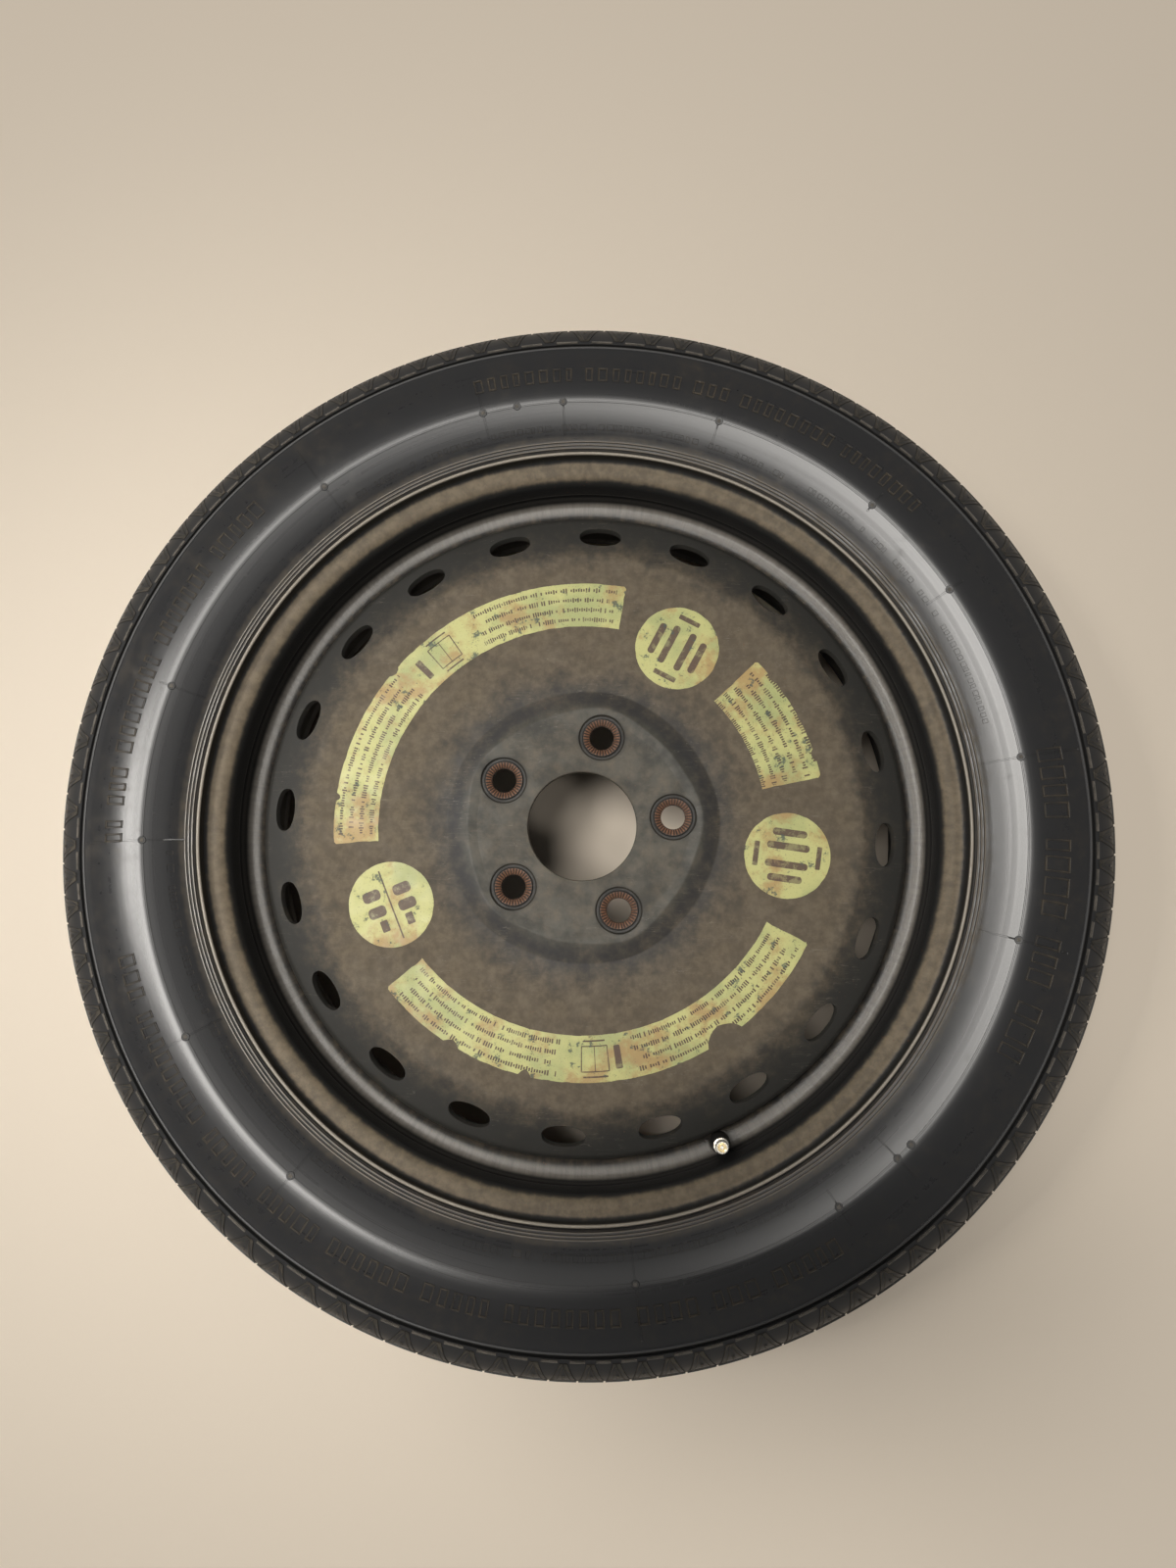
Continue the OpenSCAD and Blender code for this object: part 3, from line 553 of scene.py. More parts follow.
class SPARE_OT_sidewall_marks(bpy.types.Operator):
    """Raised marks on the front sidewall: pegs and spokes of the mould, rows of plain frames and dashes"""

    bl_idname = "spare.sidewall_marks"
    bl_label = "Sidewall marks"

    def execute(self, context):
        tyre = context.scene.spare_tyre
        section = tyre_section(tyre, context.scene.spare_rim)
        chance = random.Random(7)
        radius = 270.0
        surface = Surface(section["wall"], radius)
        bm = bmesh.new()
        pips = bmesh.new()
        spokes = bmesh.new()
        for turn in PEGS:
            spot = Matrix.Translation((math.radians(turn) * radius, surface.at_radius(PEG_RING + 0.4), 0.1))
            for mesh, wide, depth in ((spokes, 2.7, 0.9), (pips, 1.5, 1.6)):
                bmesh.ops.create_cone(mesh, cap_ends=True, segments=14, radius1=wide, radius2=wide - 0.4,
                                      depth=depth, matrix=spot)
        # The parting line of the mould, in short parts
        parts = 150
        part = math.tau * radius / parts
        line_y = surface.at_radius(section["mould"].x + 0.15)
        for i in range(parts):
            pad(spokes, bar((i + 0.5) * part, line_y, part + 0.2, 0.9, parts=2), -0.3, 0.3, 0.15)
        for turn, low, high in SPOKES:
            a, b = surface.at_radius(low), surface.at_radius(high)
            spoke = bar(math.radians(turn) * radius, (a + b) / 2, b - a, 1.1, math.pi / 2, 14)
            pad(spokes, spoke, -0.4, 0.3, 0.15)
        for first, last, ring, height, width in FRAME_BANDS:
            x = math.radians(first) * radius
            y = surface.at_radius(ring)
            left = 0
            while x < math.radians(last) * radius:
                if not left:
                    left = chance.randint(3, 8)
                    x += width
                part = width * chance.uniform(0.7, 1.2)
                self.frame_bar(bm, x + part / 2, y, part, height * 0.62)
                x += part + 3.0
                left -= 1
        for first, last, ring, height, width in DASH_BANDS:
            x = math.radians(first) * radius
            y = surface.at_radius(ring)
            while x < math.radians(last) * radius:
                part = width * chance.uniform(0.5, 1.3)
                pad(bm, bar(x, y, part, height * 0.55), -0.3, 0.4, 0.2)
                x += part + (1.6 if chance.random() < 0.85 else 8)
        # The spokes, the parting line and the rings round the pips get a darker, duller rubber; its dark
        # colour is painted shade along these raised lines
        dull = soft("Dull rubber", (0.007, 0.007, 0.007), (0.02, 0.018, 0.015))
        for mesh, name, material in ((bm, "sidewall_marks", rubber_material(context, "Rubbed rubber", 0.4)),
                                     (spokes, "mould_spokes", dull),
                                     (pips, "mould_pips", tread_material(context, "Chalky rubber", 0.5))):
            surface.wrap(mesh)
            moulded(mesh, name, material)
        return {"FINISHED"}

    def frame_bar(self, bm, x, y, along, across):
        """An open frame of four thin bars."""
        stroke = 1.1
        for side in (-1, 1):
            pad(bm, bar(x, y + side * (across - stroke) / 2, along, stroke, parts=2), -0.4, 0.7, 0.3)
            pad(bm, bar(x + side * (along - stroke) / 2, y, across, stroke, math.pi / 2, 2), -0.4, 0.7, 0.3)


class SPARE_OT_rim_shell(bpy.types.Operator):
    """The rolled rim with its drop centre, humps and curled flanges"""

    bl_idname = "spare.rim_shell"
    bl_label = "Rim"

    def execute(self, context):
        rim = context.scene.spare_rim
        outline = rim_outline(rim)[0]
        obj = make_object(lathe(outline, steps=300), "rim_shell", rim_material(context), sharp=50)
        hole_r = 5.65
        hole = lathe([(0, -8), (hole_r, -8), (hole_r, 5), (0, 5)], 48, valve_place())
        cut(obj, make_object(hole, "hole_cutter"))
        ride(obj, ["rim"])
        return {"FINISHED"}


def hub_top(disc):
    """The height of the hub plate's outer face, in millimetres."""
    return (disc.face_z + disc.sheet_t) / MM


def disc_outline(disc, rim):
    """The section of the pressed disc from the centre bore to the turned edge."""
    top = hub_top(disc)
    ring_z = top - disc.hub_step / MM
    hub_r = disc.hub_r / MM
    ring_r = disc.ring_r / MM
    edge_r = rim.well_r / MM - PRESS_GAP
    edge_z = ring_z - (edge_r - ring_r) * math.tan(disc.vent_a)
    turned_l = 28
    path = [Vector(p) for p in (
        (disc.bore_d / MM / 2, top), (hub_r - 6, top), (hub_r, top + 0.8), (hub_r + 13, ring_z),
        (ring_r, ring_z), (edge_r, edge_z), (edge_r, edge_z - turned_l))]
    outer = rounded(path, [0, 6, 5.5, 8, 14, 6, 0], steps=8)
    # More points where the hub plate is drawn into its five corners
    fine = []
    for a, b in zip(outer, outer[1:]):
        parts = max(1, int((b - a).length / 4.5)) if a.x < hub_r + 20 else 1
        fine += [a.lerp(b, i / parts) for i in range(parts)]
    fine.append(outer[-1])
    inner = shifted(fine, -disc.sheet_t / MM)
    bevel = 0.5
    first = fine[0]
    fine[0] = first + Vector((bevel, 0))
    low = inner[0] + Vector((bevel, 0))
    start = [low, inner[0] + Vector((0, bevel)), first - Vector((0, bevel))]
    return inner[:0:-1] + start + fine


def slot_cutter(disc, turn):
    """A long oval hole, square to the sloping band, that widens a little above the sheet."""
    sides = 32
    blunt_w, blunt_l = 0.85, 0.95
    bm = bmesh.new()
    half_l = disc.vent_l / MM / 2
    half_w = disc.vent_w / MM / 2
    rings = []
    for level, grow in ((-12.0, 0.0), (-0.7, 0.0), (0.0, 0.35), (0.5, 1.1), (6.0, 6.0)):
        rings.append([])
        for i in range(sides):
            spin = math.tau * (i + 0.5) / sides
            x, y = math.cos(spin), math.sin(spin)
            across = (half_w + grow) * math.copysign(abs(x) ** blunt_w, x)
            along = (half_l + grow) * math.copysign(abs(y) ** blunt_l, y)
            rings[-1].append(bm.verts.new((across, along, level)))
    for low, high in zip(rings, rings[1:]):
        for i, vert in enumerate(low):
            j = (i + 1) % len(low)
            bm.faces.new((vert, low[j], high[j], high[i]))
    bm.faces.new(rings[0][::-1])
    bm.faces.new(rings[-1])
    bmesh.ops.recalc_face_normals(bm, faces=bm.faces)
    ring_r = disc.ring_r / MM
    vent_r = disc.vent_r / MM
    surface_z = hub_top(disc) - disc.hub_step / MM - (vent_r - ring_r) * math.tan(disc.vent_a)
    place = (Matrix.Scale(MM, 4) @ Matrix.Rotation(turn, 4, "Z")
             @ Matrix.Translation((vent_r, 0, surface_z + 0.35)) @ Matrix.Rotation(disc.vent_a, 4, "Y"))
    bmesh.ops.transform(bm, matrix=place, verts=bm.verts)
    return bm


BOLTS = MOUNTS["bolt_circle"]["dims"]["count"]


def bolt_places(disc):
    """The matrix of each bolt hole, with its origin on the outer face of the hub plate."""
    return [Matrix.Rotation(disc.bolt_from + i * math.tau / BOLTS, 4, "Z")
            @ Matrix.Translation((disc.bolt_pcd / 2, 0, hub_top(disc) * MM)) for i in range(BOLTS)]


class SPARE_OT_disc_shell(bpy.types.Operator):
    """The pressed disc: hub plate with five corners, flat ring, vented band and turned edge"""

    bl_idname = "spare.disc_shell"
    bl_label = "Wheel disc"

    def execute(self, context):
        disc = context.scene.spare_disc
        bm = lathe(disc_outline(disc, context.scene.spare_rim), steps=360)
        hub_r = disc.hub_r / MM
        drawn_w = 20
        for vert in bm.verts:
            radius = vert.co.xy.length / MM
            near = max(0.0, 1 - abs(radius - hub_r - 1) / drawn_w)
            if near:
                turn = math.atan2(vert.co.y, vert.co.x) - disc.bolt_from
                corner = ((1 + math.cos(BOLTS * turn)) / 2) ** 2
                grow = 1 + disc.corner_h / MM * corner * near * near * (3 - 2 * near) / radius
                vert.co.x *= grow
                vert.co.y *= grow
        crease = 38
        obj = make_object(bm, "disc_shell", disc_material(context), sharp=crease)
        cutters = [slot_cutter(disc, disc.vent_from + i * math.tau / disc.vents) for i in range(disc.vents)]
        bolt = disc.bolt_d / MM / 2
        seat = disc.seat_d / MM / 2
        # The bolt hole, its cone and the groove round it
        outline = [(0, -8), (bolt, -8), (bolt, -1.8), (seat - 0.4, -0.1), (seat + 0.2, 0.02),
                   (seat + 0.9, -1.1), (seat + 2.2, -1.1), (seat + 3.2, 0.1), (seat + 4, 5), (0, 5)]
        cutters += [lathe(outline, 64, place) for place in bolt_places(disc)]
        cut(obj, make_object(joined(cutters), "disc_cutters"))
        obj.data.shade_smooth()
        obj.data.set_sharp_from_angle(angle=math.radians(crease))
        ride(obj, ["wheel_disc"])
        return {"FINISHED"}


SEAT_TEETH = 36


class SPARE_OT_bolt_seats(bpy.types.Operator):
    """The knurled cones that the wheel bolts bite into"""

    bl_idname = "spare.bolt_seats"
    bl_label = "Bolt seats"

    def execute(self, context):
        disc = context.scene.spare_disc
        bolt = disc.bolt_d / MM / 2
        seat = disc.seat_d / MM / 2
        outline = [(bolt + 0.02, -2.2), (bolt + 0.05, -1.62), (seat - 0.5, 0.06), (seat, 0.05),
                   (seat - 0.1, -0.4)]
        parts = []
        for place in bolt_places(disc):
            bm = lathe(outline, SEAT_TEETH * 4)
            for vert in bm.verts:
                radius = vert.co.xy.length / MM
                if vert.co.z > -1.7 * MM and radius < seat - 0.2:
                    step = math.sin(SEAT_TEETH * math.atan2(vert.co.y, vert.co.x))
                    vert.co.z += 0.3 * MM * step
            bmesh.ops.transform(bm, matrix=place, verts=bm.verts)
            parts.append(bm)
        obj = make_object(joined(parts), "bolt_seats", seat_material(context), sharp=60)
        ride(obj)
        return {"FINISHED"}


class SPARE_OT_weld_beads(bpy.types.Operator):
    """Fillet welds between the turned edge of the disc and the rim"""

    bl_idname = "spare.weld_beads"
    bl_label = "Weld beads"

    def execute(self, context):
        low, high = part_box("weld_beads")
        rim_r = context.scene.spare_rim.well_r / MM - PRESS_GAP
        leg = (high.z - low.z) / MM
        top = high.z / MM
        parts = []
        welds = 8
        sweep = math.radians(26)
        outline = [(rim_r, top), (rim_r, top - leg), (rim_r - leg * 0.4, top - leg * 0.9),
                   (rim_r - leg * 0.8, top - leg * 0.55), (rim_r - leg, top - PRESS_GAP)]
        for i in range(welds):
            bm = lathe(outline, 56, sweep=sweep)
            for vert in bm.verts:
                run = math.atan2(vert.co.y, vert.co.x) / sweep
                ripple = 0.9 + 0.07 * math.sin(run * 40 * math.pi) if 0.01 < run < 0.99 else 0.6
                middle = Vector((*(vert.co.xy.normalized() * rim_r * MM), top * MM))
                vert.co = middle + (vert.co - middle) * ripple
            turn = context.scene.spare_disc.bolt_from + i * math.tau / welds - sweep / 2
            bmesh.ops.transform(bm, matrix=Matrix.Rotation(turn, 4, "Z"), verts=bm.verts)
            parts.append(bm)
        obj = make_object(joined(parts), "weld_beads_rippled", weld_material(context), sharp=60)
        ride(obj, ["weld_beads"])
        return {"FINISHED"}


# Height of the valve above the rim, and from the middle of its thread to its tip, in millimetres
VALVE_H = 33.5
VALVE_TIP = 4.75
# The spring of the core starts and ends at these heights, in millimetres
SPRING_LOW, SPRING_HIGH = 19.8, 26.2


def valve_place():
    """The matrix of the valve: its origin on the face of the rim and its Z along the valve."""
    mount = MOUNTS["valve_thread"]
    way = Vector(mount["axis"]).normalized()
    tip = Vector(mount["pos_m"]) + way * VALVE_TIP * MM
    return Matrix.Translation(tip - way * VALVE_H * MM) @ way.to_track_quat("Z", "Y").to_matrix().to_4x4()


class SPARE_OT_valve(bpy.types.Operator):
    """The snap-in valve: its rubber body, its threaded stem and the spring of its core"""

    bl_idname = "spare.valve"
    bl_label = "Valve"

    def execute(self, context):
        place = valve_place()
        # From the bulb inside the rim, by the neck in its hole, to the top of the rubber
        bore_r = 3.15
        path = [(bore_r, -10.4), (4.5, -10.4), (5.8, -8), (5.85, -2.6), (5.6, -2.5), (5.6, 0.1), (5.9, 0.15),
                (6.15, 0.8), (6.1, 3.2), (5.9, 3.5), (5.9, 4.3), (6.1, 4.6), (6.0, 8.5), (5.6, 12), (5.1, 15),
                (5.05, 21.4), (4.7, 22.3), (bore_r, 22.4)]
        rubber = make_object(lathe(path, 96, place), "valve_body", valve_rubber_material(context), sharp=40)
        ride(rubber, ["valve_rubber"])
        core_r, crest_r = 3.45, 3.85
        # Up the outside of the stem with its collar, and down its bore
        stem = [(2.1, -11), (3.1, -11), (3.1, 22.5), (4.5, 22.5), (4.8, 22.8), (4.8, 24.1), (4.4, 24.5),
                (core_r, 24.6), (core_r, VALVE_H - 0.6), (3.3, VALVE_H), (2.7, VALVE_H), (2.7, 26.8),
                (2.1, 24.4)]
        thread = bmesh.new()
        pitch = 0.8
        sides = 28
        verts = [thread.verts.new((r * MM, 0, z * MM)) for r, z in
                 ((core_r - 0.1, -0.38), (crest_r, -0.1), (crest_r, 0.1), (core_r - 0.1, 0.38))]
        face = thread.faces.new(verts)
        turns = 9
        bmesh.ops.spin(thread, geom=[face], cent=(0, 0, 0), axis=(0, 0, 1), dvec=(0, 0, pitch * MM / sides),
                       angle=turns * math.tau, steps=turns * sides, use_merge=False, use_duplicate=False)
        bmesh.ops.recalc_face_normals(thread, faces=thread.faces)
        bmesh.ops.transform(thread, matrix=place @ Matrix.Translation((0, 0, 25.2 * MM)), verts=thread.verts)
        whole = joined([lathe(stem, 96, place), thread])
        ride(make_object(whole, "valve_stem_threaded", valve_metal_material()), ["valve_stem"])
        self.make_spring(place)
        return {"FINISHED"}

    def make_spring(self, place):
        """The coil that pushes the pin up."""
        turns = 7
        steps = turns * 20
        long = (SPRING_HIGH - SPRING_LOW) * MM
        wire_r, coil_r = 0.14 * MM, 1.2 * MM
        bm = bmesh.new()
        start = Matrix.Translation((coil_r, 0, SPRING_LOW * MM)) @ Matrix.Rotation(math.pi / 2, 4, "X")
        bmesh.ops.create_circle(bm, cap_ends=True, segments=8, radius=wire_r, matrix=start)
        bmesh.ops.spin(bm, geom=bm.faces[:], cent=(0, 0, 0), axis=(0, 0, 1), dvec=(0, 0, long / steps),
                       angle=turns * math.tau, steps=steps, use_merge=False, use_duplicate=False)
        bmesh.ops.recalc_face_normals(bm, faces=bm.faces)
        bmesh.ops.transform(bm, matrix=place, verts=bm.verts)
        coil = make_object(bm, "core_coil", steel_material())
        ride(coil, ["core_spring"])
        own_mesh(coil)


# Where each long label starts and ends, in degrees, and its inner and outer edge in millimetres
ARC_LABELS = {"arc_label_left": (79.5, 184.0, 126.0, 154.0),
              "arc_label_bottom": (-140.5, -27.5, 126.0, 154.0),
              "arc_label_right": (11.5, 43.5, 113.0, 150.0)}
# The turn of each round label in degrees
ROUND_LABELS = {"round_label_top": 62.0, "round_label_right": -8.3, "round_label_left": -157.8}
# The circle that the middles of the round labels lie on, and their radius, in millimetres
ROUND_RING = 126.45
ROUND_R = 26.25
# Notches in the outer edge of a long label: middle and half width in degrees, and depth in millimetres
TEARS = {"arc_label_bottom": ((-56.0, 4.2, 9.0), (-103.0, 1.2, 4.0), (-121.0, 1.6, 3.5)),
         "arc_label_left": ((173.0, 1.0, 2.5), (140.5, 1.3, 2.2)),
         "arc_label_right": ((17.0, 1.5, 2.0), (38.0, 1.2, 1.5))}
# The edges of the film stay this far inside the flat sheet, in millimetres
ROUND_MARGIN, ARC_MARGIN = 0.05, 0.1


def worn(x, y, seed, most):
    """How far the edge of a label is worn back at a point, in millimetres."""
    coarse = noise.noise(Vector((x * 0.16, y * 0.16, seed)))
    fine = noise.noise(Vector((x * 0.7, y * 0.7, seed + 9)))
    return most * min(1.0, max(0.0, 0.15 + 0.6 * coarse + 0.35 * fine + 0.25 * (coarse > 0.25)))


class SPARE_OT_labels(bpy.types.Operator):
    """Six film labels on the flat ring of the disc, with worn edges and plain marks in place of print"""

    bl_idname = "spare.labels"
    bl_label = "Labels"

    def execute(self, context):
        seed = 3.0
        for name, (first, last, inner, outer) in ARC_LABELS.items():
            seed += 5
            outline = self.arc_outline(name, first, last, inner, outer, seed)
            self.make_label(context, name, outline, (first + last) / 2, (inner + outer) / 2)
        for name, turn in ROUND_LABELS.items():
            seed += 5
            self.make_label(context, name, self.round_outline(turn, seed), turn, ROUND_RING)
        return {"FINISHED"}

    def round_outline(self, turn, seed):
        """The edge of a round label, going round it once."""
        middle = Matrix.Rotation(math.radians(turn), 2) @ Vector((ROUND_RING, 0))
        steps = 180
        outline = []
        for i in range(steps):
            way = Vector((math.cos(i * math.tau / steps), math.sin(i * math.tau / steps)))
            outline.append(middle + way * (ROUND_R - ROUND_MARGIN - worn(*(way * ROUND_R), seed, 0.35)))
        return outline

    def arc_outline(self, name, first, last, inner, outer, seed):
        """The edge of a long label, going round it once."""
        depth = outer - inner
        step = 0.5
        steps = int((last - first) / step)
        corner_r = 1.4
        points = []
        for i in range(steps + 1):
            turn = first + (last - first) * i / steps
            notches = [deep * (1 - abs(turn - at) / half) ** 0.4 for at, half, deep in TEARS[name]
                       if abs(turn - at) < half]
            from_end = min(turn - first, last - turn) / math.degrees(corner_r / outer)
            corner = max(0.0, 1 - from_end) ** 2 * corner_r
            worn_off = max(notches + [corner]) + worn(turn * 2.5, outer, seed, 0.5)
            points.append((turn, outer - ARC_MARGIN - worn_off))
        parts = 14
        ends = [inner + depth * (1 - i / parts) for i in range(1, parts)]
        points += [(last - math.degrees(worn(r, last, seed, 0.6) + ARC_MARGIN) / r, r) for r in ends]
        points += [(last - (last - first) * i / steps, inner + ARC_MARGIN + worn(i * 1.2, inner, seed, 0.35))
                   for i in range(steps + 1)]
        points += [(first + math.degrees(worn(r, first, seed, 0.6) + ARC_MARGIN) / r, r)
                   for r in reversed(ends)]
        return [Vector((r * math.cos(math.radians(turn)), r * math.sin(math.radians(turn))))
                for turn, r in points]

    def make_label(self, context, name, outline, turn, ring):
        """One label from its flat outline, with a material that knows where its middle is."""
        low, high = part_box(name)
        bm = bmesh.new()
        face = bm.faces.new([bm.verts.new((p.x * MM, p.y * MM, low.z)) for p in outline])
        grown = bmesh.ops.extrude_face_region(bm, geom=[face], use_keep_orig=True)["geom"]
        top = [item for item in grown if isinstance(item, bmesh.types.BMFace)]
        bmesh.ops.translate(bm, verts=top[0].verts, vec=(0, 0, high.z - low.z))
        bmesh.ops.recalc_face_normals(bm, faces=bm.faces)
        bmesh.ops.triangulate(bm, faces=bm.faces)
        obj = make_object(bm, name + "_film", label_material(context, name, math.radians(turn), ring))
        ride(obj, [name])


class Recipe:
    """Adds nodes to a tree step by step. A value is a number, a colour or the output of an earlier step."""

    def __init__(self, tree):
        self.tree = tree

    def node(self, kind, **settings):
        node = self.tree.nodes.new(kind)
        for name, value in settings.items():
            setattr(node, name, value)
        return node

    def feed(self, socket, value):
        if isinstance(value, bpy.types.NodeSocket):
            self.tree.links.new(value, socket)
        else:
            socket.default_value = value

    def maths(self, operation, *values):
        node = self.node("ShaderNodeMath", operation=operation)
        for socket, value in zip(node.inputs, values):
            self.feed(socket, value)
        return node.outputs[0]

    def chain(self, operation, values):
        """The operation over two or more values, from the left."""
        total = values[0]
        for value in values[1:]:
            total = self.maths(operation, total, value)
        return total

    def times(self, *values):
        return self.chain("MULTIPLY", values)

    def plus(self, *values):
        return self.chain("ADD", values)

    def minus(self, *values):
        return self.chain("SUBTRACT", values)

    def greatest(self, *values):
        return self.chain("MAXIMUM", values)

    def reach(self, x, y):
        """The distance of (x, y) from the origin."""
        return self.maths("SQRT", self.plus(self.times(x, x), self.times(y, y)))

    def between(self, value, low, full_low, full_high, high):
        """1 between the two full values, and 0 outside the low and the high one."""
        return self.times(self.span(value, low, full_low), self.span(value, high, full_high))

    def around_half(self, value, share):
        """A noise level as a swing about zero."""
        return self.times(self.minus(value, 0.5), share)

    def scaled(self, vector, share):
        """The vector or colour times a number."""
        node = self.node("ShaderNodeVectorMath", operation="SCALE")
        self.feed(node.inputs[0], vector)
        self.feed(node.inputs["Scale"], share)
        return node.outputs[0]

    def vector(self, x, y, z=0.0):
        node = self.node("ShaderNodeCombineXYZ")
        for socket, value in zip(node.inputs, (x, y, z)):
            self.feed(socket, value)
        return node.outputs[0]

    def span(self, value, low, high, to_low=0.0, to_high=1.0):
        """The value moved smoothly from one range to another, and held at its ends."""
        node = self.node("ShaderNodeMapRange", interpolation_type="SMOOTHSTEP")
        for socket, item in zip(node.inputs, (value, low, high, to_low, to_high)):
            self.feed(socket, item)
        return node.outputs[0]

    def steps(self, value, scale, stops):
        """A grey level read off a list of (value, level) stops."""
        node = self.node("ShaderNodeValToRGB")
        ramp = node.color_ramp
        while len(ramp.elements) < len(stops):
            ramp.elements.new(1.0)
        for element, (at, level) in zip(ramp.elements, stops):
            element.position = at / scale
            element.color = (level, level, level, 1.0)
        self.feed(node.inputs[0], self.maths("DIVIDE", value, scale))
        return node.outputs[0]

    def noise(self, vector, scale, detail=3.0, rough=0.55):
        node = self.node("ShaderNodeTexNoise")
        self.feed(node.inputs["Vector"], vector)
        node.inputs["Scale"].default_value = scale
        node.inputs["Detail"].default_value = detail
        node.inputs["Roughness"].default_value = rough
        return node.outputs["Fac"]

    def mix(self, factor, a, b):
        """A colour between a and b."""
        node = self.node("ShaderNodeMix", data_type="RGBA")
        self.feed(node.inputs[0], factor)
        for socket, value in ((node.inputs[6], a), (node.inputs[7], b)):
            self.feed(socket, value if isinstance(value, bpy.types.NodeSocket) else (*value, 1.0))
        return node.outputs[2]

    def effect(self, tree, **values):
        """A shared effect, with its inputs set. Underscores in a name stand for spaces."""
        node = self.node("ShaderNodeGroup", node_tree=tree)
        for name, value in values.items():
            socket = node.inputs[name.replace("_", " ")]
            if isinstance(value, tuple):
                value = (*value, 1.0)
            self.feed(socket, value)
        return node.outputs

    def object_place(self):
        """The place on the object, in millimetres."""
        return self.scaled(self.node("ShaderNodeTexCoord").outputs["Object"], 1 / MM)

    def parts(self, vector):
        node = self.node("ShaderNodeSeparateXYZ")
        self.feed(node.inputs[0], vector)
        return node.outputs


SOCKETS = {"Float": "NodeSocketFloat", "Colour": "NodeSocketColor", "Vector": "NodeSocketVector"}
# The outputs of the shared effects that make a finish
TONE = {"Colour": "Colour", "Height": "Float"}
SKIN = {"Colour": "Colour", "Rough": "Float"}
FINISH = {"Colour": "Colour", "Rough": "Float", "Height": "Float"}


def shared(name, inputs, outputs, build):
    """The node group of that name. The first time, build makes it from a recipe and the inputs."""
    tree = bpy.data.node_groups.get(name)
    if tree:
        return tree
    tree = bpy.data.node_groups.new(name, "ShaderNodeTree")
    for label, kind in inputs.items():
        tree.interface.new_socket(label, in_out="INPUT", socket_type=SOCKETS[kind])
    for label, kind in outputs.items():
        tree.interface.new_socket(label, in_out="OUTPUT", socket_type=SOCKETS[kind])
    recipe = Recipe(tree)
    results = build(recipe, *recipe.node("NodeGroupInput").outputs[:len(inputs)])
    out = recipe.node("NodeGroupOutput")
    for socket, value in zip(out.inputs, results):
        tree.links.new(value, socket)
    return tree


def wheel_place():
    """Radius and height on the wheel in millimetres, and vectors for streaks along and round the radius."""
    def build(r):
        spot = r.object_place()
        x, y, z = r.parts(spot)
        radius = r.reach(x, y)
        across = r.maths("DIVIDE", x, radius)
        along = r.maths("DIVIDE", y, radius)
        wide = 30.0
        rays = r.vector(r.times(across, wide), r.times(along, wide),
                        r.times(radius, 0.02))
        rings = r.vector(radius, z, r.times(across, 2.0))
        facing = r.parts(r.node("ShaderNodeNewGeometry").outputs["Normal"])[2]
        level = r.span(r.maths("ABSOLUTE", facing), 0.25, 0.85)
        return radius, z, rays, rings, spot, level

    outputs = {"Radius": "Float", "Height": "Float", "Rays": "Vector", "Rings": "Vector", "Spot": "Vector",
               "Level": "Float"}
    return shared("Wheel place", {}, outputs, build)


def dust_cover():
    """Patchy dust with fine specks over a colour. Amount runs from 0 for clean to 1 for covered."""
    def build(r, spot, under, dust, amount):
        broad = r.noise(spot, 0.035, 4.0, 0.6)
        middle = r.noise(spot, 0.16, 5.0, 0.65)
        fine = r.noise(spot, 0.9, 2.0, 0.6)
        mixed = r.plus(r.times(broad, 0.45), r.times(middle, 0.55))
        level = r.plus(r.minus(mixed, 0.5), amount)
        cover = r.span(level, 0.1, 0.9)
        specks = r.times(r.span(fine, 0.64, 0.72), r.times(amount, 0.5))
        cover = r.greatest(cover, specks)
        tone = r.span(middle, 0.35, 0.7, 0.82, 1.18)
        return r.mix(cover, under, r.scaled(dust, tone)), cover

    return shared("Dust", {"Spot": "Vector", "Under": "Colour", "Dust": "Colour", "Amount": "Float"},
                  {"Colour": "Colour", "Cover": "Float"}, build)


def scratch_lines():
    """Fine scratches in two directions."""
    def build(r, spot, amount):
        lines = []
        for angle_z, offset in ((0.5, 0.0), (-0.9, 40.0)):
            turn = r.node("ShaderNodeMapping")
            r.feed(turn.inputs["Vector"], spot)
            turn.inputs["Location"].default_value = (offset, offset, 0)
            turn.inputs["Rotation"].default_value = (0, 0, angle_z)
            turn.inputs["Scale"].default_value = (0.02, 0.32, 0.02)
            wave = r.noise(turn.outputs[0], 1.0, 2.0, 0.5)
            lines.append(r.span(r.maths("ABSOLUTE", r.minus(wave, 0.56)), 0.004, 0.0012))
        broken = r.span(r.noise(spot, 0.05, 2.0, 0.5), 0.52, 0.6)
        mask = r.times(r.greatest(*lines), broken)
        return (r.times(mask, amount),)

    return shared("Scratches", {"Spot": "Vector", "Amount": "Float"}, {"Mask": "Float"}, build)


def fine_grain():
    """Height of a fine grain, in millimetres."""
    def build(r, spot, size, depth):
        place = r.scaled(spot, r.maths("DIVIDE", 1.0, size))
        return (r.times(r.noise(place, 1.0, 3.0, 0.6), depth),)

    return shared("Grain", {"Spot": "Vector", "Size": "Float", "Depth": "Float"}, {"Height": "Float"}, build)


def new_material(name):
    """A material with a recipe for its tree and its shader."""
    material = bpy.data.materials.new(name)
    material.use_nodes = True
    tree = material.node_tree
    return material, Recipe(tree), tree.nodes["Principled BSDF"]


def finish_shader(r, shader, colour_out, rough, height=None, metallic=0.0):
    """Links a finish to the shader. The height is in millimetres."""
    r.feed(shader.inputs["Base Color"], colour_out)
    r.feed(shader.inputs["Roughness"], rough)
    shader.inputs["Metallic"].default_value = metallic
    if height:
        bump = r.node("ShaderNodeBump")
        bump.inputs["Strength"].default_value = 1.0
        bump.inputs["Distance"].default_value = MM
        r.feed(bump.inputs["Height"], height)
        r.feed(shader.inputs["Normal"], bump.outputs[0])


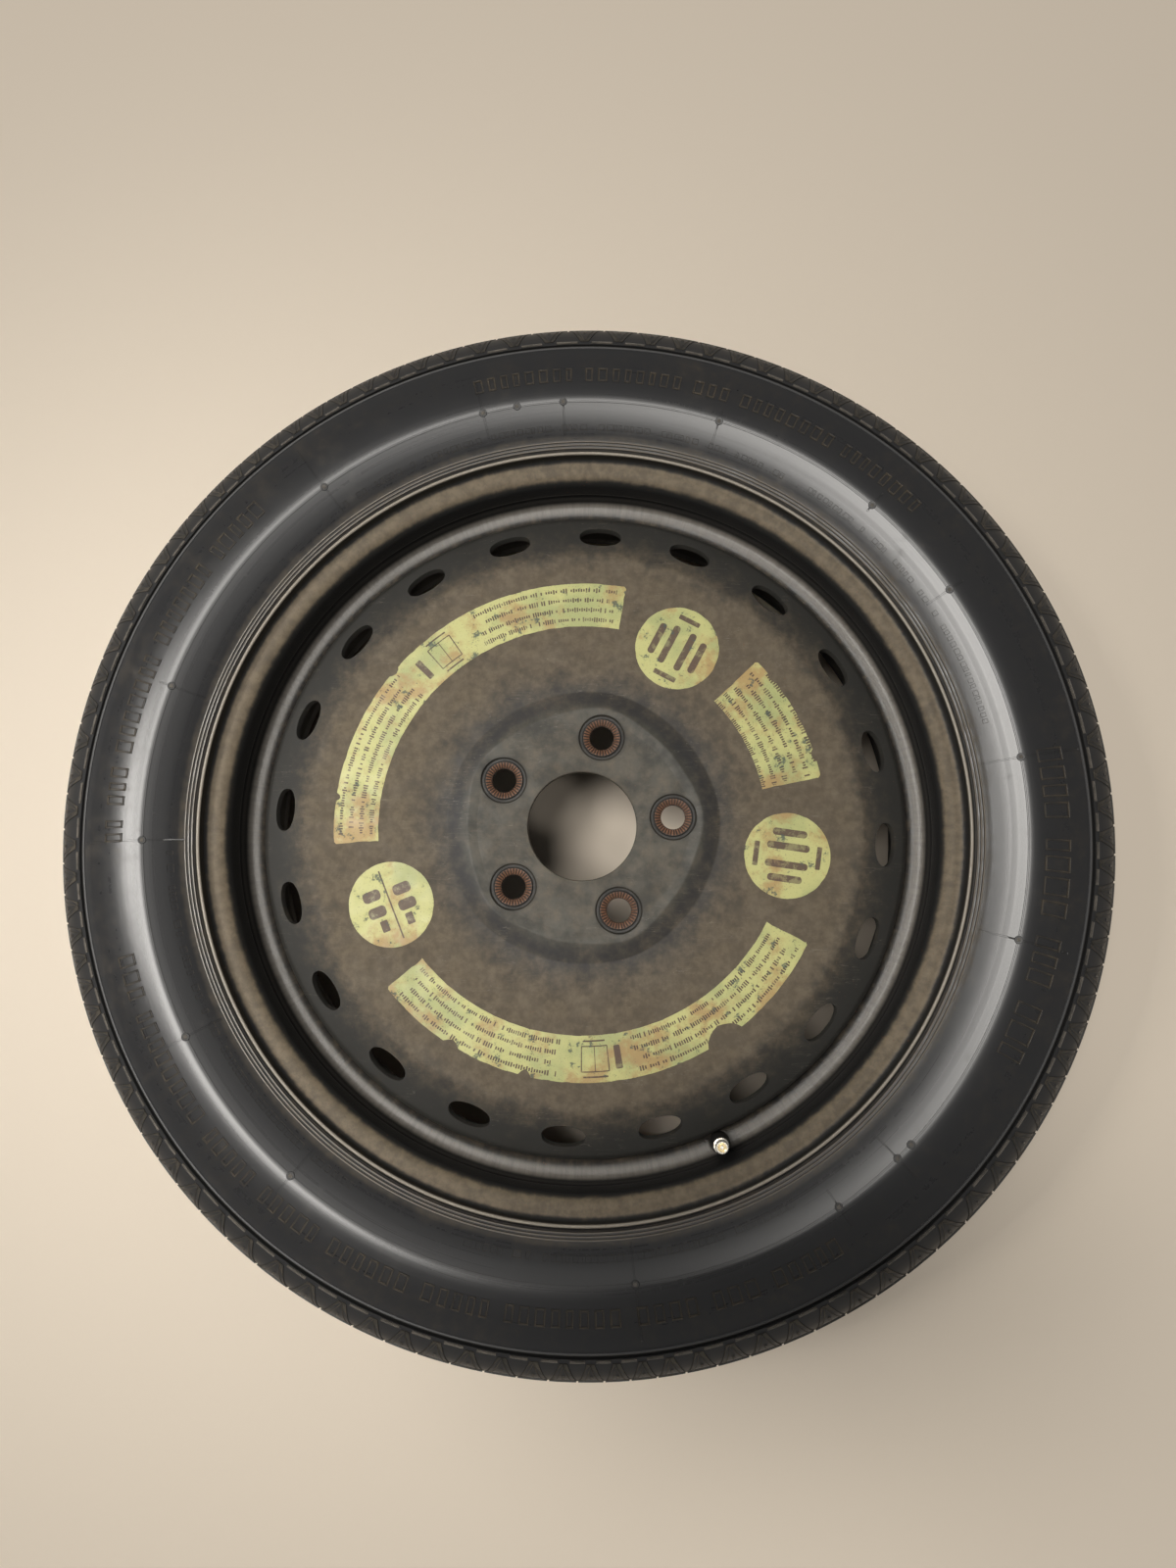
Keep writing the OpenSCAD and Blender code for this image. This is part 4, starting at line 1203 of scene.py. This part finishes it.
def rubber_zones():
    """Colour, roughness and height of the sidewall: brown dust by the rim, clean and smooth above it, and
    painted shade in the groove behind the shoulder line.
    """
    def build(r, rubber, dust, rubbed):
        place = r.effect(wheel_place())
        radius, rays, rings, spot = place["Radius"], place["Rays"], place["Rings"], place["Spot"]
        streaks = r.noise(rays, 1.6, 4.0, 0.65)
        smears = r.noise(rays, 0.35, 2.0, 0.5)
        low = r.steps(radius, 400.0, ((0, 0.6), (236, 0.36), (240.4, 0.5), (242.2, 0.18), (247, 0.08),
                                      (256, 0.04), (272, 0.12), (284, 0.2), (296, 0.2), (299, 0.0)))
        amount = r.plus(low, rubbed, r.around_half(streaks, 0.3), r.around_half(smears, 0.2))
        colour_out, cover = r.effect(dust_cover(), Spot=spot, Under=rubber, Dust=dust, Amount=amount)
        # The crests of the three fine ribs by the rim are coloured pale
        crest = r.span(r.maths("PINGPONG", r.minus(radius, 234.05), 1.0), 0.5, 0.25)
        near = r.between(radius, 232.9, 233.3, 238.9, 239.4)
        colour_out = r.mix(r.times(crest, near, 0.45), colour_out, (0.30, 0.26, 0.21))
        wipe = r.span(r.noise(rings, 0.28, 3.0, 0.6), 0.35, 0.7, -0.02, 0.03)
        # The groove behind the raised shoulder line is coloured near black: painted shade
        groove = r.between(radius, 298.8, 299.4, 301.8, 302.4)
        colour_out = r.mix(groove, colour_out, (0.004, 0.004, 0.004))
        shoulder = r.span(radius, 291.0, 297.0, 0.29, 0.5)
        rough = r.plus(shoulder, wipe, r.times(cover, 0.45))
        lines = r.times(r.noise(rings, 1.2, 2.0, 0.5), 0.015)
        grain = r.effect(fine_grain(), Spot=spot, Size=0.8, Depth=0.02)[0]
        return colour_out, rough, r.plus(lines, grain)

    return shared("Rubber zones", {"Rubber": "Colour", "Dust": "Colour", "Rubbed": "Float"}, FINISH, build)


def rubber_material(context, name, rubbed):
    """The rubber of the sidewall. Rubbed adds a share of dust."""
    finish = context.scene.spare_finishes
    material, r, shader = new_material(name)
    colour_out, rough, height = r.effect(rubber_zones(), Rubber=tuple(finish.rubber),
                                         Dust=tuple(finish.dust * 0.55), Rubbed=rubbed)
    finish_shader(r, shader, colour_out, rough, height)
    return material


def tread_zones():
    """Colour, roughness and height of the dull rubber of the tread."""
    def build(r, rubber, dust, chalk):
        spot = r.effect(wheel_place())["Spot"]
        worn_in = r.noise(spot, 0.08, 5.0, 0.6)
        amount = r.plus(r.span(worn_in, 0.3, 0.75, 0.15, 0.5), chalk)
        colour_out, cover = r.effect(dust_cover(), Spot=spot, Under=rubber, Dust=dust, Amount=amount)
        rough = r.plus(0.5, r.times(cover, 0.3))
        return colour_out, rough, r.effect(fine_grain(), Spot=spot, Size=0.5, Depth=0.06)[0]

    return shared("Tread zones", {"Rubber": "Colour", "Dust": "Colour", "Chalk": "Float"}, FINISH, build)


def tread_material(context, name, chalk):
    """The rubber of the tread and shoulder. Chalk adds a share of pale dust."""
    material = bpy.data.materials.get(name)
    if material:
        return material
    finish = context.scene.spare_finishes
    material, r, shader = new_material(name)
    dust = tuple(0.48 * part + 0.10 * chalk for part in finish.dust)
    colour_out, rough, height = r.effect(tread_zones(), Rubber=tuple(finish.tread), Dust=dust, Chalk=chalk)
    finish_shader(r, shader, colour_out, rough, height)
    return material


def rim_zones():
    """Colour, roughness and height of the rim: black paint under a brown haze with dark wipes across it,
    painted highlights on the flank and the lip, and painted shade under the bead seat and inside the curl.
    """
    def build(r, paint, dust, rust):
        place = r.effect(wheel_place())
        radius, height, spot, level = place["Radius"], place["Height"], place["Spot"], place["Level"]
        streaks = r.noise(place["Rays"], 2.4, 4.0, 0.7)
        # Dust by radius. It falls to almost none near 215 mm, under the bead seat, and near 228 to 229 mm,
        # inside the curl, so the black paint shows there as painted shade
        low = r.steps(radius, 400.0, ((0, 0.25), (204, 0.3), (206, 0.32), (209, 0.25), (215, 0.1),
                                      (216.8, 0.3), (218.6, 0.85), (227.3, 0.85), (228.3, 0.1),
                                      (228.9, 0.05), (231, 0.3)))
        amount = r.times(r.plus(low, r.around_half(streaks, 0.4)),
                         r.span(level, 0.0, 1.0, 0.3, 1.0))
        colour_out, cover = r.effect(dust_cover(), Spot=spot, Under=paint, Dust=dust, Amount=amount)
        # A painted grey highlight on the flank of the drop centre, and round the lip a light line that is
        # partly worn paint and partly a painted highlight
        flank = r.between(radius, 205.5, 209.5, 214.0, 215.6)
        flank_highlight = r.times(flank, level, r.span(streaks, 0.2, 0.7, 0.6, 0.95))
        colour_out = r.mix(flank_highlight, colour_out, (0.165, 0.150, 0.130))
        # Light line round the top of the lip: partly paint worn light, partly a painted highlight on the
        # rounded edge
        lip = r.between(radius, 228.9, 229.5, 230.6, 231.2)
        lip = r.times(lip, r.span(height, 66.0, 67.5), 0.9)
        colour_out = r.mix(lip, colour_out, (0.30, 0.265, 0.215))
        spots = r.noise(spot, 0.5, 3.0, 0.7)
        rusty = r.times(r.span(spots, 0.66, 0.72), 0.7)
        pits = r.span(spots, 0.7, 0.3, -0.06, 0.0)
        rough = r.plus(0.38, r.times(cover, 0.32))
        grain = r.effect(fine_grain(), Spot=spot, Size=0.6, Depth=0.05)[0]
        return r.mix(rusty, colour_out, rust), rough, r.plus(grain, pits)

    return shared("Rim zones", {"Paint": "Colour", "Dust": "Colour", "Rust": "Colour"}, FINISH, build)


def rim_material(context):
    finish = context.scene.spare_finishes
    material, r, shader = new_material("Rim paint")
    colour_out, rough, height = r.effect(rim_zones(), Paint=tuple(finish.paint),
                                         Dust=tuple(finish.dust * 1.3), Rust=tuple(finish.rust))
    finish_shader(r, shader, colour_out, rough, height)
    return material


def bolt_place():
    """Distance from the nearest bolt hole in millimetres, and fine radial teeth around it."""
    def build(r):
        x, y, _ = r.parts(r.object_place())
        radius = r.reach(x, y)
        disc = bpy.context.scene.spare_disc
        part = math.tau / BOLTS
        turn = r.minus(r.maths("ARCTAN2", y, x), disc.bolt_from)
        turn = r.maths("WRAP", turn, part / 2, -part / 2)
        out = r.minus(r.times(radius, r.maths("COSINE", turn)), disc.bolt_pcd / MM / 2)
        side = r.times(radius, r.maths("SINE", turn))
        away = r.reach(out, side)
        teeth = r.maths("SINE", r.times(r.maths("ARCTAN2", side, out), SEAT_TEETH))
        return away, r.span(teeth, -0.5, 0.5)

    return shared("Bolt place", {}, {"Away": "Float", "Teeth": "Float"}, build)


def disc_zones():
    """Colour, roughness and height of the disc: worn grey hub plate, brown dusty ring, darker vented band,
    and a dark ring of dirt and painted shade round each bolt seat.
    """
    def build(r, paint, hub, dust, rust):
        place = r.effect(wheel_place())
        radius, spot = place["Radius"], place["Spot"]
        mottle = r.noise(spot, 0.07, 5.0, 0.62)
        patches = r.noise(spot, 0.045, 4.0, 0.6)
        plate = r.span(radius, 78.0, 70.0)
        worn_hub = r.mix(r.span(mottle, 0.35, 0.65), r.scaled(hub, 0.5), hub)
        band = r.mix(r.span(radius, 168.0, 182.0), paint, (0.024, 0.023, 0.020))
        base = r.mix(plate, band, worn_hub)
        ring = r.steps(radius, 400.0, ((0, 0.4), (60, 0.38), (70, 0.26), (80, 0.3), (96, 0.62), (112, 0.86),
                                       (162, 0.88), (168, 0.72), (176, 0.42), (186, 0.2), (194, 0.08),
                                       (203, 0.04)))
        amount = r.plus(ring, r.around_half(mottle, 0.28), r.around_half(patches, 0.25))
        colour_out, cover = r.effect(dust_cover(), Spot=spot, Under=base, Dust=dust, Amount=amount)
        # Dark over the groove round each bolt seat: partly dirt, partly painted shade in the groove
        bolt_groove_dirt_and_shade = r.span(r.effect(bolt_place())["Away"], 16.5, 12.6)
        colour_out = r.mix(r.times(bolt_groove_dirt_and_shade, 0.88), colour_out, (0.012, 0.011, 0.010))
        marks = r.effect(scratch_lines(), Spot=spot, Amount=0.3)[0]
        colour_out = r.mix(marks, colour_out, (0.24, 0.21, 0.17))
        spots = r.noise(spot, 0.55, 3.0, 0.7)
        rusty = r.times(r.span(spots, 0.67, 0.74), 0.55)
        colour_out = r.mix(rusty, colour_out, rust)
        rough = r.plus(r.span(mottle, 0.35, 0.7, 0.62, 0.5), r.times(cover, 0.2))
        grain = r.effect(fine_grain(), Spot=spot, Size=0.8, Depth=0.05)[0]
        dents = r.times(r.noise(spot, 0.045, 2.0, 0.4), 0.25)
        return colour_out, rough, r.plus(grain, dents)

    inputs = ("Paint", "Hub", "Dust", "Rust")
    return shared("Disc zones", dict.fromkeys(inputs, "Colour"), FINISH, build)


def disc_material(context):
    finish = context.scene.spare_finishes
    material, r, shader = new_material("Disc paint")
    colour_out, rough, height = r.effect(disc_zones(), Paint=tuple(finish.paint), Hub=tuple(finish.hub),
                                         Dust=tuple(finish.dust), Rust=tuple(finish.rust))
    finish_shader(r, shader, colour_out, rough, height)
    return material


def rusty_metal():
    """Colour and height of rusted steel."""
    def build(r, rust, dark):
        spot = r.object_place()
        patch = r.noise(spot, 0.7, 4.0, 0.65)
        height = r.times(patch, 0.15)
        return r.mix(r.span(patch, 0.4, 0.62), dark, rust), height

    return shared("Rusty metal", {"Rust": "Colour", "Dark": "Colour"}, TONE, build)


def seat_teeth():
    """Colour and height of a rusty bolt seat with dark gaps between its teeth."""
    def build(r, rust, dark):
        away, teeth = r.effect(bolt_place())
        colour_out, height = r.effect(rusty_metal(), Rust=rust, Dark=r.scaled(rust, 0.55))
        gap = r.greatest(r.minus(1.0, teeth), r.span(away, 8.2, 7.4))
        return r.mix(r.times(gap, 0.85), colour_out, dark), height

    return shared("Seat teeth", {"Rust": "Colour", "Dark": "Colour"}, TONE, build)


def seat_material(context):
    finish = context.scene.spare_finishes
    material, r, shader = new_material("Rusty bolt seat")
    colour_out, height = r.effect(seat_teeth(), Rust=tuple(finish.rust * 1.3), Dark=tuple(finish.rust * 0.15))
    finish_shader(r, shader, colour_out, 0.55, height)
    return material


def weld_material(context):
    finish = context.scene.spare_finishes
    material, r, shader = new_material("Painted weld")
    colour_out, height = r.effect(rusty_metal(), Rust=tuple(finish.dust * 0.7), Dark=tuple(finish.paint))
    finish_shader(r, shader, colour_out, 0.5, height)
    return material


def label_place():
    """Place along and across a label in millimetres. Straight is 1 for a round label and 0 for an arc."""
    def build(r, turn, ring, straight):
        node = r.node("ShaderNodeVectorRotate", rotation_type="Z_AXIS")
        r.feed(node.inputs["Vector"], r.object_place())
        r.feed(node.inputs["Angle"], r.times(turn, -1.0))
        x, y, _ = r.parts(node.outputs[0])
        radius = r.reach(x, y)
        arc = r.times(r.maths("ARCTAN2", y, x), ring)
        along = r.plus(r.times(arc, r.minus(1.0, straight)), r.times(y, straight))
        level = r.plus(r.times(radius, r.minus(1.0, straight)),
                        r.times(x, straight))
        return along, r.minus(level, ring)

    return shared("Label place", {"Turn": "Float", "Ring": "Float", "Straight": "Float"},
                  {"Along": "Float", "Across": "Float"}, build)


def dash_rows():
    """Rows of short dashes between two ends of a label."""
    def build(r, along, across, pitch, letter, start, end):
        level = r.maths("DIVIDE", across, pitch)
        row = r.maths("FLOOR", level)
        inside = r.maths("ABSOLUTE", r.minus(r.minus(level, row), 0.5))
        cell = r.plus(r.maths("DIVIDE", along, letter), r.times(row, 3.37))
        step = r.maths("FLOOR", cell)
        wide = r.maths("GREATER_THAN", r.minus(cell, step), 0.38)
        chance = r.node("ShaderNodeTexWhiteNoise", noise_dimensions="2D")
        r.feed(chance.inputs["Vector"], r.vector(step, row))
        kept = r.maths("GREATER_THAN", chance.outputs["Value"], 0.2)
        tall = r.maths("LESS_THAN", inside, r.span(chance.outputs["Value"], 0.3, 1.0, 0.12, 0.25))
        ragged = r.node("ShaderNodeTexWhiteNoise", noise_dimensions="1D")
        r.feed(ragged.inputs["W"], row)
        slack = r.times(ragged.outputs["Value"], 9.0)
        after = r.maths("GREATER_THAN", along, r.plus(start, slack))
        before = r.maths("LESS_THAN", along, r.minus(end, slack))
        return (r.times(tall, wide, kept, after, before),)

    inputs = ("Along", "Across", "Pitch", "Letter", "Start", "End")
    return shared("Dash rows", dict.fromkeys(inputs, "Float"), {"Mask": "Float"}, build)


def plain_bar():
    """A filled bar with round corners, or its outline if Stroke is above 0."""
    def build(r, along, across, x, y, half_w, half_h, round_r, stroke):
        gaps = []
        for value, middle, half in ((along, x, half_w), (across, y, half_h)):
            away = r.maths("ABSOLUTE", r.minus(value, middle))
            gaps.append(r.minus(away, r.minus(half, round_r)))
        outside = [r.greatest(gap, 0.0) for gap in gaps]
        far = r.reach(*outside)
        near = r.maths("MINIMUM", r.greatest(*gaps), 0.0)
        edge = r.minus(r.plus(far, near), round_r)
        hollow = r.maths("GREATER_THAN", stroke, 0.0)
        ring = r.minus(r.maths("ABSOLUTE", edge), stroke)
        chosen = r.plus(r.times(edge, r.minus(1.0, hollow)),
                         r.times(ring, hollow))
        return (r.span(chosen, 0.12, -0.12),)

    inputs = ("Along", "Across", "X", "Y", "Half W", "Half H", "Round", "Stroke")
    return shared("Plain bar", dict.fromkeys(inputs, "Float"), {"Mask": "Float"}, build)


def film_stains():
    """The film of a label with green, rusty and dark stains, and print over it."""
    def build(r, film, ink, mask):
        spot = r.object_place()
        broad = r.noise(spot, 0.028, 3.0, 0.6)
        cloudy = r.noise(r.vector(*r.parts(spot)[:2], 40.0), 0.04, 5.0, 0.65)
        streaky = r.noise(r.vector(*r.parts(spot)[:2], 90.0), 0.11, 5.0, 0.75)
        tone = r.mix(r.span(broad, 0.42, 0.62), film, (0.36, 0.38, 0.15))
        tone = r.mix(r.times(r.span(cloudy, 0.47, 0.64), 0.75), tone, (0.36, 0.20, 0.07))
        faded = r.times(mask, r.span(streaky, 0.38, 0.5, 0.65, 0.95))
        tone = r.mix(faded, tone, ink)
        tone = r.mix(r.times(r.span(streaky, 0.57, 0.65), 0.85), tone, (0.05, 0.07, 0.06))
        fine = r.noise(spot, 1.1, 2.0, 0.6)
        tone = r.mix(r.times(r.span(fine, 0.62, 0.7), 0.5), tone, (0.10, 0.085, 0.05))
        rough = r.span(streaky, 0.3, 0.7, 0.42, 0.62)
        return tone, rough, r.times(r.noise(spot, 0.3, 4.0, 0.6), 0.12)

    return shared("Film stains", {"Film": "Colour", "Ink": "Colour", "Print": "Float"}, FINISH, build)


# Marks on the labels, in millimetres from the middle of the label. Rows of dashes are
# (pitch, letter, start, end), and bars (along, across, half width, half height, corner radius, stroke).
LABEL_ROWS = {"arc_label_left": ((6.3, 1.5, -124.0, -33.0), (6.3, 1.5, 20.0, 124.0)),
              "arc_label_bottom": ((6.3, 1.5, -134.0, -28.0), (6.3, 1.5, 16.0, 134.0)),
              "arc_label_right": ((6.9, 1.5, -36.0, 36.0),)}
BAR_SIZES = ((-14.0, 10.5), (-5.6, 13.0), (5.6, 13.0), (14.0, 10.5))
FOUR_BARS = tuple((x, 0.0, 2.2, half_h, 2.0, 0.0) for x, half_h in BAR_SIZES)
BIG_BARS = FOUR_BARS + ((1.0, 19.0, 7.0, 1.5, 0.6, 0.0), (-1.0, -19.0, 7.5, 1.6, 0.6, 0.0))
BOOK = ((0.0, 0.0, 8.0, 7.5, 0.4, 0.35), (0.0, 0.0, 0.25, 7.5, 0.2, 0.0), (0.0, 10.6, 7.0, 0.5, 0.2, 0.0),
        (0.0, -10.6, 7.0, 0.5, 0.2, 0.0))
UPRIGHT = (0.0, 2.0, 7.0, 0.8, 0.0)
SPLIT = ((0.0, 0.0, 22.0, 0.5, 0.3, 0.0), (-9.0, 9.5, 3.4, 5.6, 2.6, 0.0), (1.5, 9.5, 3.4, 5.6, 2.6, 0.0),
         (11.0, 8.0, 3.6, 2.4, 0.8, 0.0), (-7.0, -9.5, 3.4, 5.6, 2.6, 0.0), (3.0, -9.5, 3.4, 5.6, 2.6, 0.0),
         (12.0, -8.0, 3.6, 2.4, 0.8, 0.0))
LABEL_BARS = {"arc_label_left": tuple((x - 9.0, *rest) for x, *rest in BOOK) + ((8.0, *UPRIGHT),),
              "arc_label_bottom": tuple((x - 7.0, *rest) for x, *rest in BOOK) + ((7.0, *UPRIGHT),),
              "round_label_top": BIG_BARS, "round_label_right": BIG_BARS, "round_label_left": SPLIT}


def label_material(context, name, turn, ring):
    finish = context.scene.spare_finishes
    material, r, shader = new_material(name.replace("_", " ").capitalize())
    along, across = r.effect(label_place(), Turn=turn, Ring=ring, Straight=float(name in ROUND_LABELS))
    masks = []
    for pitch, letter, start, end in LABEL_ROWS.get(name, ()):
        masks += r.effect(dash_rows(), Along=along, Across=across, Pitch=pitch, Letter=letter, Start=start,
                          End=end)
    for x, y, half_w, half_h, corner_r, stroke in LABEL_BARS.get(name, ()):
        masks += r.effect(plain_bar(), Along=along, Across=across, X=x, Y=y, Half_W=half_w, Half_H=half_h,
                          Round=corner_r, Stroke=stroke)
    colour_out, rough, height = r.effect(film_stains(), Film=tuple(finish.film), Ink=tuple(finish.print),
                                         Print=r.greatest(*masks))
    finish_shader(r, shader, colour_out, rough, height)
    return material


def metal_wear():
    """Colour and roughness of plated metal with a dull film."""
    def build(r, bright, dull):
        spot = r.object_place()
        patch = r.span(r.noise(spot, 0.9, 4.0, 0.6), 0.42, 0.66)
        return r.mix(patch, bright, dull), r.plus(0.24, r.times(patch, 0.2))

    return shared("Metal wear", {"Bright": "Colour", "Dull": "Colour"}, SKIN, build)


def metal(name, bright, dull):
    """A worn metal between two colours."""
    material, r, shader = new_material(name)
    colour_out, rough = r.effect(metal_wear(), Bright=bright, Dull=dull)
    finish_shader(r, shader, colour_out, rough, metallic=1.0)
    return material


def plain(name, tone, rough):
    """One even colour."""
    material, _, shader = new_material(name)
    shader.inputs["Base Color"].default_value = (*tone, 1.0)
    shader.inputs["Roughness"].default_value = rough
    return material


def valve_metal_material():
    return metal("Plated brass", (0.80, 0.77, 0.70), (0.42, 0.37, 0.29))


def steel_material():
    return metal("Spring steel", (0.62, 0.62, 0.60), (0.35, 0.33, 0.30))


def soft_dust():
    """Colour and roughness of a small rubber part with patchy dust."""
    def build(r, rubber, dust):
        spot = r.object_place()
        colour_out, cover = r.effect(dust_cover(), Spot=spot, Under=rubber, Dust=dust, Amount=0.3)
        return colour_out, r.plus(0.42, r.times(cover, 0.3))

    return shared("Soft dust", {"Rubber": "Colour", "Dust": "Colour"}, SKIN, build)


def soft(name, rubber, dust):
    """A small rubber part."""
    material, r, shader = new_material(name)
    colour_out, rough = r.effect(soft_dust(), Rubber=rubber, Dust=dust)
    finish_shader(r, shader, colour_out, rough)
    return material


def valve_rubber_material(context):
    finish = context.scene.spare_finishes
    return soft("Valve rubber", tuple(finish.rubber), tuple(finish.dust * 0.6))


class SPARE_OT_core_finish(bpy.types.Operator):
    """Finishes for the small parts of the valve core"""

    bl_idname = "spare.core_finish"
    bl_label = "Valve core finish"

    def execute(self, context):
        brass = metal("Turned brass", (0.70, 0.58, 0.34), (0.50, 0.38, 0.20))
        pin = metal("Pin metal", (0.86, 0.84, 0.78), (0.70, 0.66, 0.58))
        seal = soft("Red seal", (0.30, 0.05, 0.04), (0.25, 0.10, 0.07))
        finishes = {"core_plug": brass, "core_barrel": brass, "core_pin": pin, "core_cup": brass,
                    "core_barrel_seal": seal, "core_cup_seal": seal}
        for name, material in finishes.items():
            mesh = frame["nodes"][name].data
            mesh.materials.clear()
            mesh.materials.append(material)
        return {"FINISHED"}


# The place of the camera in metres, and its right, up and backward directions, worked out from the photograph
CAMERA_AT = (0.0225, -0.0543, 0.7071)
CAMERA_AXES = ((0.9996, 0.0, -0.0286), (0.0035, 0.9927, 0.1208), (0.0284, -0.1209, 0.9923))
# Focal length and width of the sensor, in millimetres
LENS, SENSOR = 24.75, 36
# Each lamp's place, what it looks at, its size in metres, its power in watts and its spread in degrees
LAMPS = {"key": ((-0.58, 0.05, 3.0), (0.0, 0.0, 0.0), 1.0, 57, 180),
         "side": ((-0.98, 0.12, 1.55), (-0.26, 0.0, 0.07), 0.5, 0.78, 36)}
# The middle of the dark card and its half sizes, in metres
CARD_AT, CARD_SIZE = (-0.01, -0.215, 0.55), (0.13, 0.065, 1)
SKY = 0.22


class SPARE_OT_stage(bpy.types.Operator):
    """A plain pale floor, two soft lamps, a dark card, an even sky, and the camera of the photograph"""

    bl_idname = "spare.stage"
    bl_label = "Stage"

    def execute(self, context):
        scene = context.scene
        bm = bmesh.new()
        bmesh.ops.create_grid(bm, x_segments=1, y_segments=1, size=3.0,
                              matrix=Matrix.Translation((0, 0, FLOOR_Z)))
        floor = make_object(bm, "floor", plain("Plain floor", tuple(scene.spare_finishes.floor), 0.85))
        lamps = [self.lamp(name, *values) for name, values in LAMPS.items()]
        # A dark card over the near side, where the person with the camera takes away some light
        bm = bmesh.new()
        bmesh.ops.create_grid(bm, x_segments=1, y_segments=1, size=1.0,
                              matrix=Matrix.LocRotScale(CARD_AT, None, CARD_SIZE))
        card = make_object(bm, "card", plain("Dark card", (0.02, 0.02, 0.02), 0.5))
        card.visible_camera = False
        view = bpy.data.cameras.new("camera")
        view.lens = LENS
        view.sensor_width = SENSOR
        view.sensor_fit = "AUTO"
        view.clip_start = 0.01
        eye = bpy.data.objects.new("camera", view)
        scene.collection.objects.link(eye)
        axes = Matrix(CAMERA_AXES).transposed().to_4x4()
        eye.matrix_world = Matrix.Translation(CAMERA_AT) @ axes
        scene.camera = eye
        world = scene.world or bpy.data.worlds.new("sky")
        scene.world = world
        world.use_nodes = True
        sky = world.node_tree.nodes["Background"]
        sky.inputs["Color"].default_value = (1.0, 0.985, 0.96, 1.0)
        sky.inputs["Strength"].default_value = SKY
        scene.view_settings.view_transform = "Standard"
        return {"FINISHED"}

    def lamp(self, name, place, target, size, energy, spread):
        """A round soft lamp that looks at a target, with its spread in degrees."""
        light = bpy.data.lights.new(name, "AREA")
        light.shape = "DISK"
        light.size = size
        light.energy = energy
        light.spread = math.radians(spread)
        light.color = (1.0, 0.97, 0.92)
        obj = bpy.data.objects.new(name, light)
        bpy.context.scene.collection.objects.link(obj)
        obj.location = place
        obj.rotation_euler = (Vector(target) - obj.location).to_track_quat("-Z", "Y").to_euler()
        return obj


PIECES = (SPARE_OT_tyre_casing, SPARE_OT_shoulder_pattern, SPARE_OT_tread_blocks, SPARE_OT_sidewall_marks,
          SPARE_OT_rim_shell, SPARE_OT_disc_shell, SPARE_OT_bolt_seats, SPARE_OT_weld_beads, SPARE_OT_labels,
          SPARE_OT_valve, SPARE_OT_core_finish, SPARE_OT_stage)
SIZES = {"spare_tyre": SpareTyreSizes, "spare_rim": SpareRimSizes, "spare_disc": SpareDiscSizes,
         "spare_finishes": SpareFinishes}


class SPARE_PT_panel(bpy.types.Panel):
    """The steps of the wheel and their sizes, in the sidebar of the 3D view"""

    bl_idname = "SPARE_PT_panel"
    bl_label = "Spare wheel"
    bl_space_type = "VIEW_3D"
    bl_region_type = "UI"
    bl_category = "Spare wheel"

    def draw(self, context):
        layout = self.layout
        for piece in PIECES:
            layout.operator(piece.bl_idname)
        for name, group in SIZES.items():
            box = layout.box()
            for item in group.__annotations__:
                box.prop(getattr(context.scene, name), item)


def register():
    for group in (*SIZES.values(), *PIECES, SPARE_PT_panel):
        bpy.utils.register_class(group)
    for name, group in SIZES.items():
        setattr(bpy.types.Scene, name, PointerProperty(type=group))


def unregister():
    for name in SIZES:
        delattr(bpy.types.Scene, name)
    for group in (SPARE_PT_panel, *reversed(PIECES), *SIZES.values()):
        bpy.utils.unregister_class(group)


def main():
    register()
    for piece in PIECES:
        group, name = piece.bl_idname.split(".")
        getattr(getattr(bpy.ops, group), name)()


if __name__ == "__main__":
    main()
